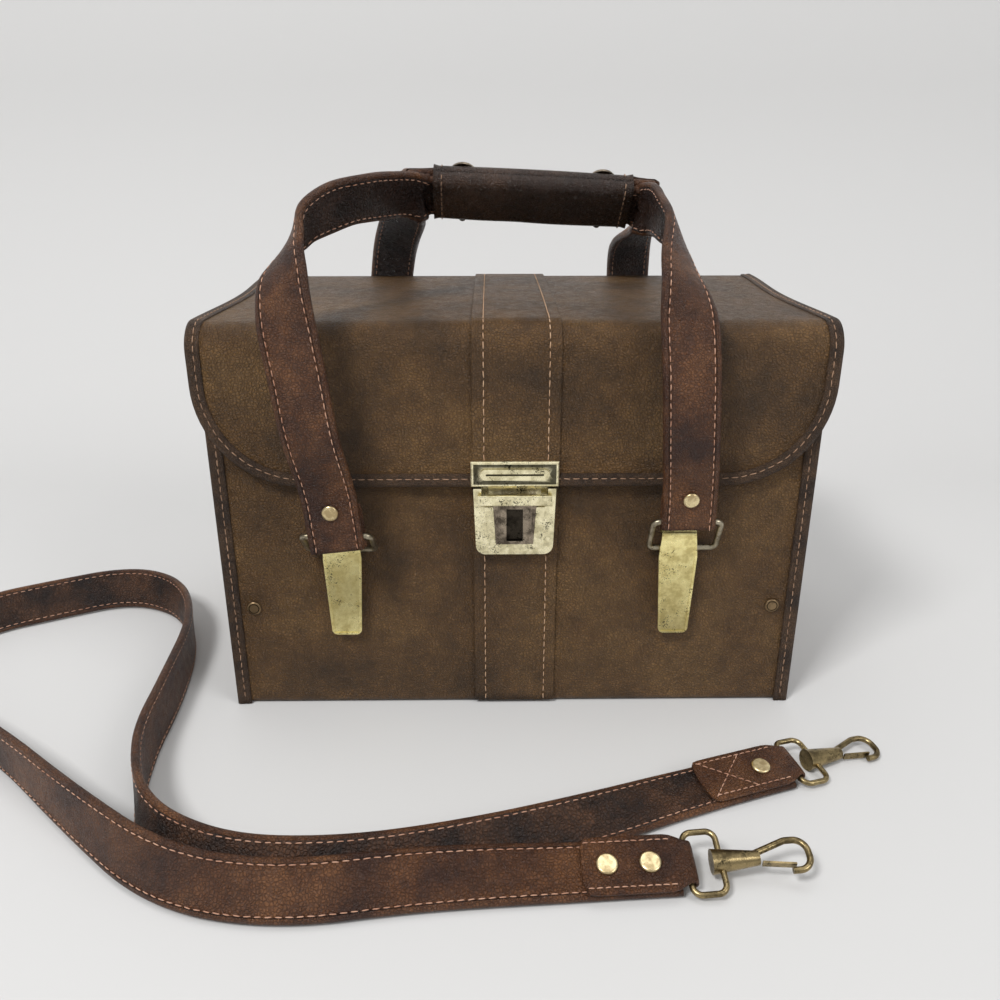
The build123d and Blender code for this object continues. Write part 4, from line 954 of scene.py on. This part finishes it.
REAR_LEFT = [
    ("ring", 0, 0, 2, -1, 0, 0),
    ("ring", 0.4, 2, 14, -1, 0, 0),
    ("ring", 1.6, 4, 27, -1, 0, 0),
    ("lid", 4.5, 22, -43, -1, 0, 0),
    ("lid", 8, 21, -18, -1, 0, 0),
    ("lid", 11, 14, 2, -1, 0, 0.05),
    ("lid", 14.5, 2, 17, -1, 0, 0.2),
    ("lid", 19, -15, 28.5, -0.9, 0.1, 0.4),
    ("grip", -20, 44.3, -17.5, -0.8, 0, 0.55),
    ("grip", -17, 30.3, -11, -0.6, -0.15, 0.75),
    ("grip", -13.5, 18.3, -5.6, -0.35, -0.35, 0.87),
    ("grip", -10.5, 8.8, -3, -0.12, -0.55, 0.82),
    ("grip", -6.5, 2.8, -1.6, 0, -0.68, 0.73),
    ("grip", -2, 0, 0, 0, -0.7071, 0.7071),
    ("grip", 51.5, 0, 0, 0, -0.7071, 0.7071),
]
REAR_RIGHT = [
    ("grip", 2, 0, 0, 0, -0.7071, 0.7071),
    ("grip", 6.5, 3, -1, 0, -0.69, 0.72),
    ("grip", 10.5, 9.3, -3, 0.1, -0.5, 0.85),
    ("grip", 12.7, 19.3, -4, 0.25, -0.25, 0.93),
    ("grip", 13.3, 31.3, -9.5, 0.5, 0, 0.85),
    ("lid", -10, -34, 35, 0.75, 0.1, 0.65),
    ("lid", -10.5, -20, 28.5, 0.9, 0.1, 0.4),
    ("lid", -10.3, -5, 20, 0.97, 0.1, 0.2),
    ("lid", -9, 8, 8.5, 1, 0, 0.1),
    ("lid", -7.5, 17, -8, 1, 0, 0.04),
    ("lid", -5.5, 21.5, -26, 1, 0, 0),
    ("lid", -3, 22, -45, 1, 0, 0),
    ("ring", -1, 5, 28, 1, 0, 0),
    ("ring", -0.2, 2, 13, 1, 0, 0),
    ("ring", 0, 0, 2, 1, 0, 0),
]
STRAP_KEYS = {
    (-1, -1): FRONT_LEFT, (-1, 1): FRONT_RIGHT,
    (1, -1): REAR_LEFT, (1, 1): REAR_RIGHT,
}


def ring_tilt(side, end):
    """How far a ring hangs out of the upright. The left front one leans more."""
    return TILT_LEFT if side == end == -1 else TILT_OTHER


def key_place(side, end, near, x, out, rise):
    """Where a key of the carrying straps lies, in metres."""
    hooks = (HOOK_LEFT_X, HOOK_RIGHT_X) if side < 0 else (-HOOK_REAR_X, HOOK_REAR_X)
    start = hooks[0 if end < 0 else 1]
    if near == "grip":
        start = GRIP_LEFT if end < 0 else GRIP_RIGHT
        _, y, z = grip_centre(start + x * MM, side)
    elif near == "lid":
        y, z = side * HALF_DEPTH, LID_TOP
    else:
        y, z = ring_top(side, ring_tilt(side, end))
    return start + x * MM, y + side * out * MM, z + rise * MM


def strap_line(side):
    """The middle line of a carrying strap, whose face looks away from the case."""
    keys = []
    for end in (-1, 1):
        for near, x, out, rise, *across in STRAP_KEYS[side, end]:
            keys.append((*key_place(side, end, near, x, out, rise), *across))
    fine = curve_points(keys, 6)
    line = Line([row[:3] for row in fine], [row[3:] for row in fine])
    for index, across in enumerate(line.across):
        line.face[index] = across.cross(line.along[index]) * side
    return line


def end_wrap(name, line, side, end, mats):
    """The strap's end folded round the ring's upper bar and back up behind."""
    index = 0 if end < 0 else len(line.points) - 1
    down = line.along[index] * end
    across = line.across[index]
    out = line.face[index]
    middle = Vector((line.points[index].x, *ring_top(side, ring_tilt(side, end))))
    drop = 0.0068 if side == end == -1 else 0.0035
    path = []
    for angle in arc(15, 165, 15):
        path.append(middle + out * (0.0014 * math.cos(angle)) + down * (drop * math.sin(angle)))
    for rise in (0.002, 0.006, 0.012, 0.017):
        path.append(middle - down * rise - out * 0.0022)
    section = flat_profile(STRAP_WIDTH / 2, 0.0008, 0.95, 0.5)
    rings = []
    for point, heading in zip(path, tangents(path)):
        normal = across.cross(heading).normalized()
        rings.append([point + across * sideways + normal * rise for sideways, rise in section])
    piece = skin(name, rings, mats["strap"])
    subdivide(piece)
    return piece


def make_carrying_strap(side, mats):
    line = strap_line(side)
    node = WALL[side] + "_strap"
    body = WALL[side] + "_handle"
    piece = strip(
        node + "_leather", line, mats["strap"], STRAP_WIDTH, STRAP_THICK,
        STRAP_SEAM, crown=0.0003, backing=mats["backing"],
    )
    carry(piece, body, "strap_leather", node)
    for end in (-1, 1):
        piece = end_wrap("%s_end_%s" % (node, END[end]), line, side, end, mats)
        carry(piece, body, "strap_leather", node)
    rows = both_faces(line, STRAP_WIDTH / 2 - STRAP_SEAM, STRAP_THICK / 2 - SINK)
    name = node + "_stitches"
    stitches(name, rows, mats["pink_thread"], STRAP_STITCH, 41 + side, body, "strap_leather")


# Grip

def grip_rim(u, v, corner):
    """Half of a rounded outline: the open side lies along v = 0."""
    ring = [(u, 0.0)]
    for middle, first in ((u - corner, 0), (corner - u, 90)):
        for angle in arc(first, first + 90, 18):
            ring.append((middle + corner * math.cos(angle), v - corner + corner * math.sin(angle)))
    ring.append((-u, 0.0))
    return ring


def grip_frame(side):
    """The directions up and out of one half of the grip."""
    along = Vector((1, 0, -GRIP_SLOPE)).normalized()
    up = (GRIP_UP - along * GRIP_UP.dot(along)).normalized()
    return up, along.cross(up) * -side


def grip_middle(x, side, out):
    """The middle of the flat inner face of one half of the grip."""
    return Vector(grip_centre(x, side)) - out * (STRAP_THICK / 2 + 0.0002)


def grip_sewing(side, up, out):
    """A row of stitches round each end of one half of the grip."""
    rim = grip_rim(GRIP_HALF_WIDTH, GRIP_HALF_THICK, GRIP_CORNER)[1:-1]
    normals = []
    for u, v in rim:
        lean = Vector((math.copysign(max(0.0, abs(u) - 0.011), u), max(0.0, v - 0.0018)))
        lean.normalize()
        normals.append(up * lean.x + out * lean.y)
    rows = []
    for x in (GRIP_LEFT + 0.0042, GRIP_RIGHT - 0.0042):
        middle = grip_middle(x, side, out)
        rows.append(([middle + up * u + out * v for u, v in rim], normals))
    return rows


def make_grip_half(side, mats):
    """Half of the leather wrap: a soft round shell, a little fuller in the middle."""
    name = WALL[side]
    up, out = grip_frame(side)
    inner = grip_rim(*GRIP_HOLLOW)
    rings = []
    steps = 36
    for step in range(steps + 1):
        share = step / steps
        middle = grip_middle(GRIP_LEFT + (GRIP_RIGHT - GRIP_LEFT) * share, side, out)
        swell = 0.0004 * math.sin(math.pi * share) - 0.0003
        if step in (0, steps):
            swell += 0.0005
        dent = 0.0006 * math.exp(-((share - 0.42) / 0.12) ** 2)
        outer = grip_rim(GRIP_HALF_WIDTH + swell, GRIP_HALF_THICK + swell, GRIP_CORNER)
        ring = [middle + up * (u + (dent if u < -0.012 else 0.0)) + out * v for u, v in outer]
        ring += [middle + up * u + out * v for u, v in reversed(inner)]
        rings.append(ring)
    body = WALL[side] + "_handle"
    piece = skin("grip_%s_leather" % name, rings, mats["grip"])
    carry(piece, body, "grip_leather", "grip_wrap_" + name)
    rows = grip_sewing(side, up, out)
    name = "grip_%s_stitches" % name
    stitches(name, rows, mats["brown_thread"], GRIP_STITCH, 51 + side, body, "grip_leather")


# Lining, pads and tabs

def round_outline(low, high, inset, z):
    """A rectangle with round corners at height z, so far inside its low and high corner."""
    corner = LINING_CORNER
    inset += corner
    left = low.x + inset
    right = high.x - inset
    near = low.y + inset
    far = high.y - inset
    ring = []
    for x, y, first in ((right, far, 0), (left, far, 90), (left, near, 180), (right, near, 270)):
        for angle in arc(first, first + 90, 15):
            ring.append(Vector((x + corner * math.cos(angle), y + corner * math.sin(angle), z)))
    return ring


def corners(node):
    """The lowest and the highest corner of a solid."""
    return (Vector(corner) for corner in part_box(node))


def make_case_lining(mats):
    """A cloth lining open at the top, whose walls bulge in a little."""
    low, high = corners("case_lining")
    thick = 0.0011
    floor = low.z
    tall = high.z - floor
    rings = []
    for share in (0.0, 0.02, 0.3, 0.6, 0.97, 1.0):
        inset = 0.0012 if share in (0.0, 1.0) else 0.0001
        rings.append(round_outline(low, high, inset, floor + tall * share))
    for share in (0.99, 0.75, 0.5, 0.25, 0.02):
        inset = thick + 0.0012 * math.sin(math.pi * share)
        rings.append(round_outline(low, high, inset, floor + thick + tall * share * 0.99))
    piece = skin("case_lining_cloth", rings, mats["lining"])
    carry(piece, "case", "lining", "case_lining")


def make_lid_lining(mats):
    """Cloth on the lid's inner face."""
    gap = LID_BOARD + 0.0004
    rows = []
    for y, z, ny, nz in lid_profile():
        if z > FLAP_BOTTOM + 0.006:
            half = lid_half_at(y, z) - 0.006
            row = []
            for column in range(25):
                share = column / 12 - 1
                row.append(Vector((half * share, y - ny * gap, z - nz * gap - 0.0003 * math.cos(share))))
            rows.append(row)
    piece = sheet("lid_lining_cloth", rows, 0.0008, mats["lining"])
    carry(piece, "lid", "lining", "lid_lining")


def make_pad(node, axis, mats):
    """A covered board: thin along its axis, soft at the edges and a little full in the middle."""
    low, high = corners(node)
    order = {0: (1, 2, 0), 2: (0, 1, 2)}[axis]
    half = (high[axis] - low[axis]) / 2
    middle = (high[axis] + low[axis]) / 2
    low = Vector((low[order[0]], low[order[1]], 0))
    high = Vector((high[order[0]], high[order[1]], 0))
    sizes = []
    for angle in arc(-80, 80, 20):
        sizes.append((half * (1 - math.cos(angle)) * 0.8, half * math.sin(angle) * 0.93))
    sizes.insert(0, (0.02, sizes[0][1] - half * 0.05))
    sizes.append((0.02, sizes[-1][1] + half * 0.05))
    rings = []
    for inset, rise in sizes:
        ring = round_outline(low, high, inset, middle + rise)
        rings.append([Vector([p[order.index(k)] for k in range(3)]) for p in ring])
    piece = skin(node + "_cloth", rings, mats["lining"])
    carry(piece, "case", "lining", node)


def make_chape(side, mats):
    """The leather tab that is folded over the side ring's bar and riveted to the end."""
    name = END[side]
    low, high = corners("d_ring_chape_" + name)
    foot = low.z + 0.0003
    top = high.z - 0.004
    radius = 0.0032
    path = [(0.0024, foot), (0.0024, low.z + 0.012), (0.0024, low.z + 0.026), (radius, top - 0.006)]
    path.append((0.0068, top - 0.002))
    for angle in arc(0, 180, 30):
        path.append((0.0038 + radius * math.cos(angle), top + radius * math.sin(angle)))
    path += [(0.0008, top - 0.006), (0.0008, low.z + 0.02), (0.0008, foot)]
    points = [Vector((side * (HALF_WIDTH + 0.0002 + out), 0, z)) for out, z in path]
    across = Vector((0, 1, 0))
    section = flat_profile(0.011, 0.0007, 0.94, 0.5)
    rings = []
    for point, heading in zip(points, tangents(points)):
        normal = heading.cross(across).normalized()
        rings.append([point + across * sideways + normal * rise for sideways, rise in section])
    piece = skin("chape_" + name, rings, mats["strap"])
    carry(piece, "case", "vinyl", "d_ring_chape_" + name)


def make_hinge_strip(mats):
    """The strip of vinyl down the back, on which the lid turns."""
    low, high = corners("hinge_strip")
    points = [Vector((0, high.y - 0.0004, low.z + (high.z - low.z) * s / 12)) for s in range(13)]
    line = Line(points, [Vector((1, 0, 0))] * 13, [Vector((0, 1, 0))] * 13)
    piece = strip("hinge_vinyl", line, mats["vinyl"], high.x - low.x, 0.0009, 0.004)
    carry(piece, "case", "vinyl", "hinge_strip")


def make_linings(mats):
    make_case_lining(mats)
    make_lid_lining(mats)
    make_pad("floor_pad", 2, mats)
    make_pad("divider_left", 0, mats)
    make_pad("divider_right", 0, mats)
    make_chape(-1, mats)
    make_chape(1, mats)
    make_hinge_strip(mats)


# Solids that keep their shape

def dress_nodes(mats):
    """Materials and softened edges for the solids that are shown as they are."""
    finish = {
        "vinyl": "body_wrap end_panel_left end_panel_right",
        "brass": "front_hook_left front_hook_right rear_hook_left rear_hook_right",
        "pale_brass": "lock_base lock_bar hasp_plate hasp_tongue",
        "rivet_brass": (
            "lock_rivets hasp_rivets hook_rivets front_strap_rivets rear_strap_rivets "
            "chape_rivets fold_rivets_a fold_rivets_b"
        ),
        "steel": (
            "front_ring_left front_ring_right rear_ring_left rear_ring_right "
            "d_ring_left d_ring_right lock_spring lock_catch"
        ),
        "bronze": "snap_loop_a snap_loop_b snap_hook_a snap_hook_b snap_gate_a snap_gate_b",
        "button": "lock_button snap_caps snap_studs",
        "stud": "corner_studs",
    }
    for material, names in finish.items():
        for name in names.split():
            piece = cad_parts[name]
            piece.data.materials.clear()
            piece.data.materials.append(mats[material])
            if material in ("brass", "pale_brass", "button"):
                edge = piece.modifiers.new("edges", "BEVEL")
                edge.width = 0.00035
                edge.segments = 3
                edge.limit_method = "ANGLE"
                edge.angle_limit = math.radians(40)


# Room

def make_room():
    """A sheet of paper that lies on the table and bends up into the wall."""
    paint = Paint("paper")
    paint.set("Base Color", (0.61, 0.605, 0.597, 1.0))
    paint.set("Roughness", 0.8)
    paint.set("Specular IOR Level", 0.2)
    turn = 0.35
    wall_y = 0.62
    bend_y = wall_y - turn
    rings = []
    for x in (-3.0, 3.0):
        ring = [Vector((x, -3.0, 0.0)), Vector((x, bend_y, 0.0))]
        for angle in arc(6, 90, 6):
            ring.append(Vector((x, bend_y + turn * math.sin(angle), turn - turn * math.cos(angle))))
        ring.append(Vector((x, wall_y, 2.5)))
        rings.append(ring)
    paper = skin("paper", rings, paint.material, closed=False)


def make_light(name, place, aim, size, power):
    data = bpy.data.lights.new(name, "AREA")
    data.shape = "RECTANGLE"
    data.size = size[0]
    data.size_y = size[1]
    data.energy = power
    light = add(name, data)
    light.location = place
    direction = Vector(aim) - Vector(place)
    light.rotation_euler = direction.to_track_quat("-Z", "Y").to_euler()


def make_lights():
    make_light("key", (-0.85, -1.15, 1.75), (0, 0, 0.1), (0.5, 0.5), 31.0)
    make_light("top", (0.1, 0.1, 1.7), (0, 0, 0.1), (1.2, 0.8), 4.5)
    make_light("fill", (1.3, -1.1, 1.3), (0.3, 0, 0.1), (0.9, 0.9), 11.5)
    world = bpy.data.worlds.new("studio")
    scene.world = world
    world.use_nodes = True
    sky = world.node_tree.nodes["Background"]
    sky.inputs["Color"].default_value = (0.97, 0.98, 1.0, 1.0)
    sky.inputs["Strength"].default_value = 0.45


def main():
    scene.view_settings.view_transform = "Standard"
    make_camera()
    mats = make_materials()
    make_shoulder_strap(mats)
    make_lid(mats)
    make_lid_edging(mats)
    make_bands(mats)
    for side in (-1, 1):
        make_end_edging(side, mats)
        make_carrying_strap(side, mats)
        make_grip_half(side, mats)
    make_linings(mats)
    dress_nodes(mats)
    make_room()
    make_lights()


main()
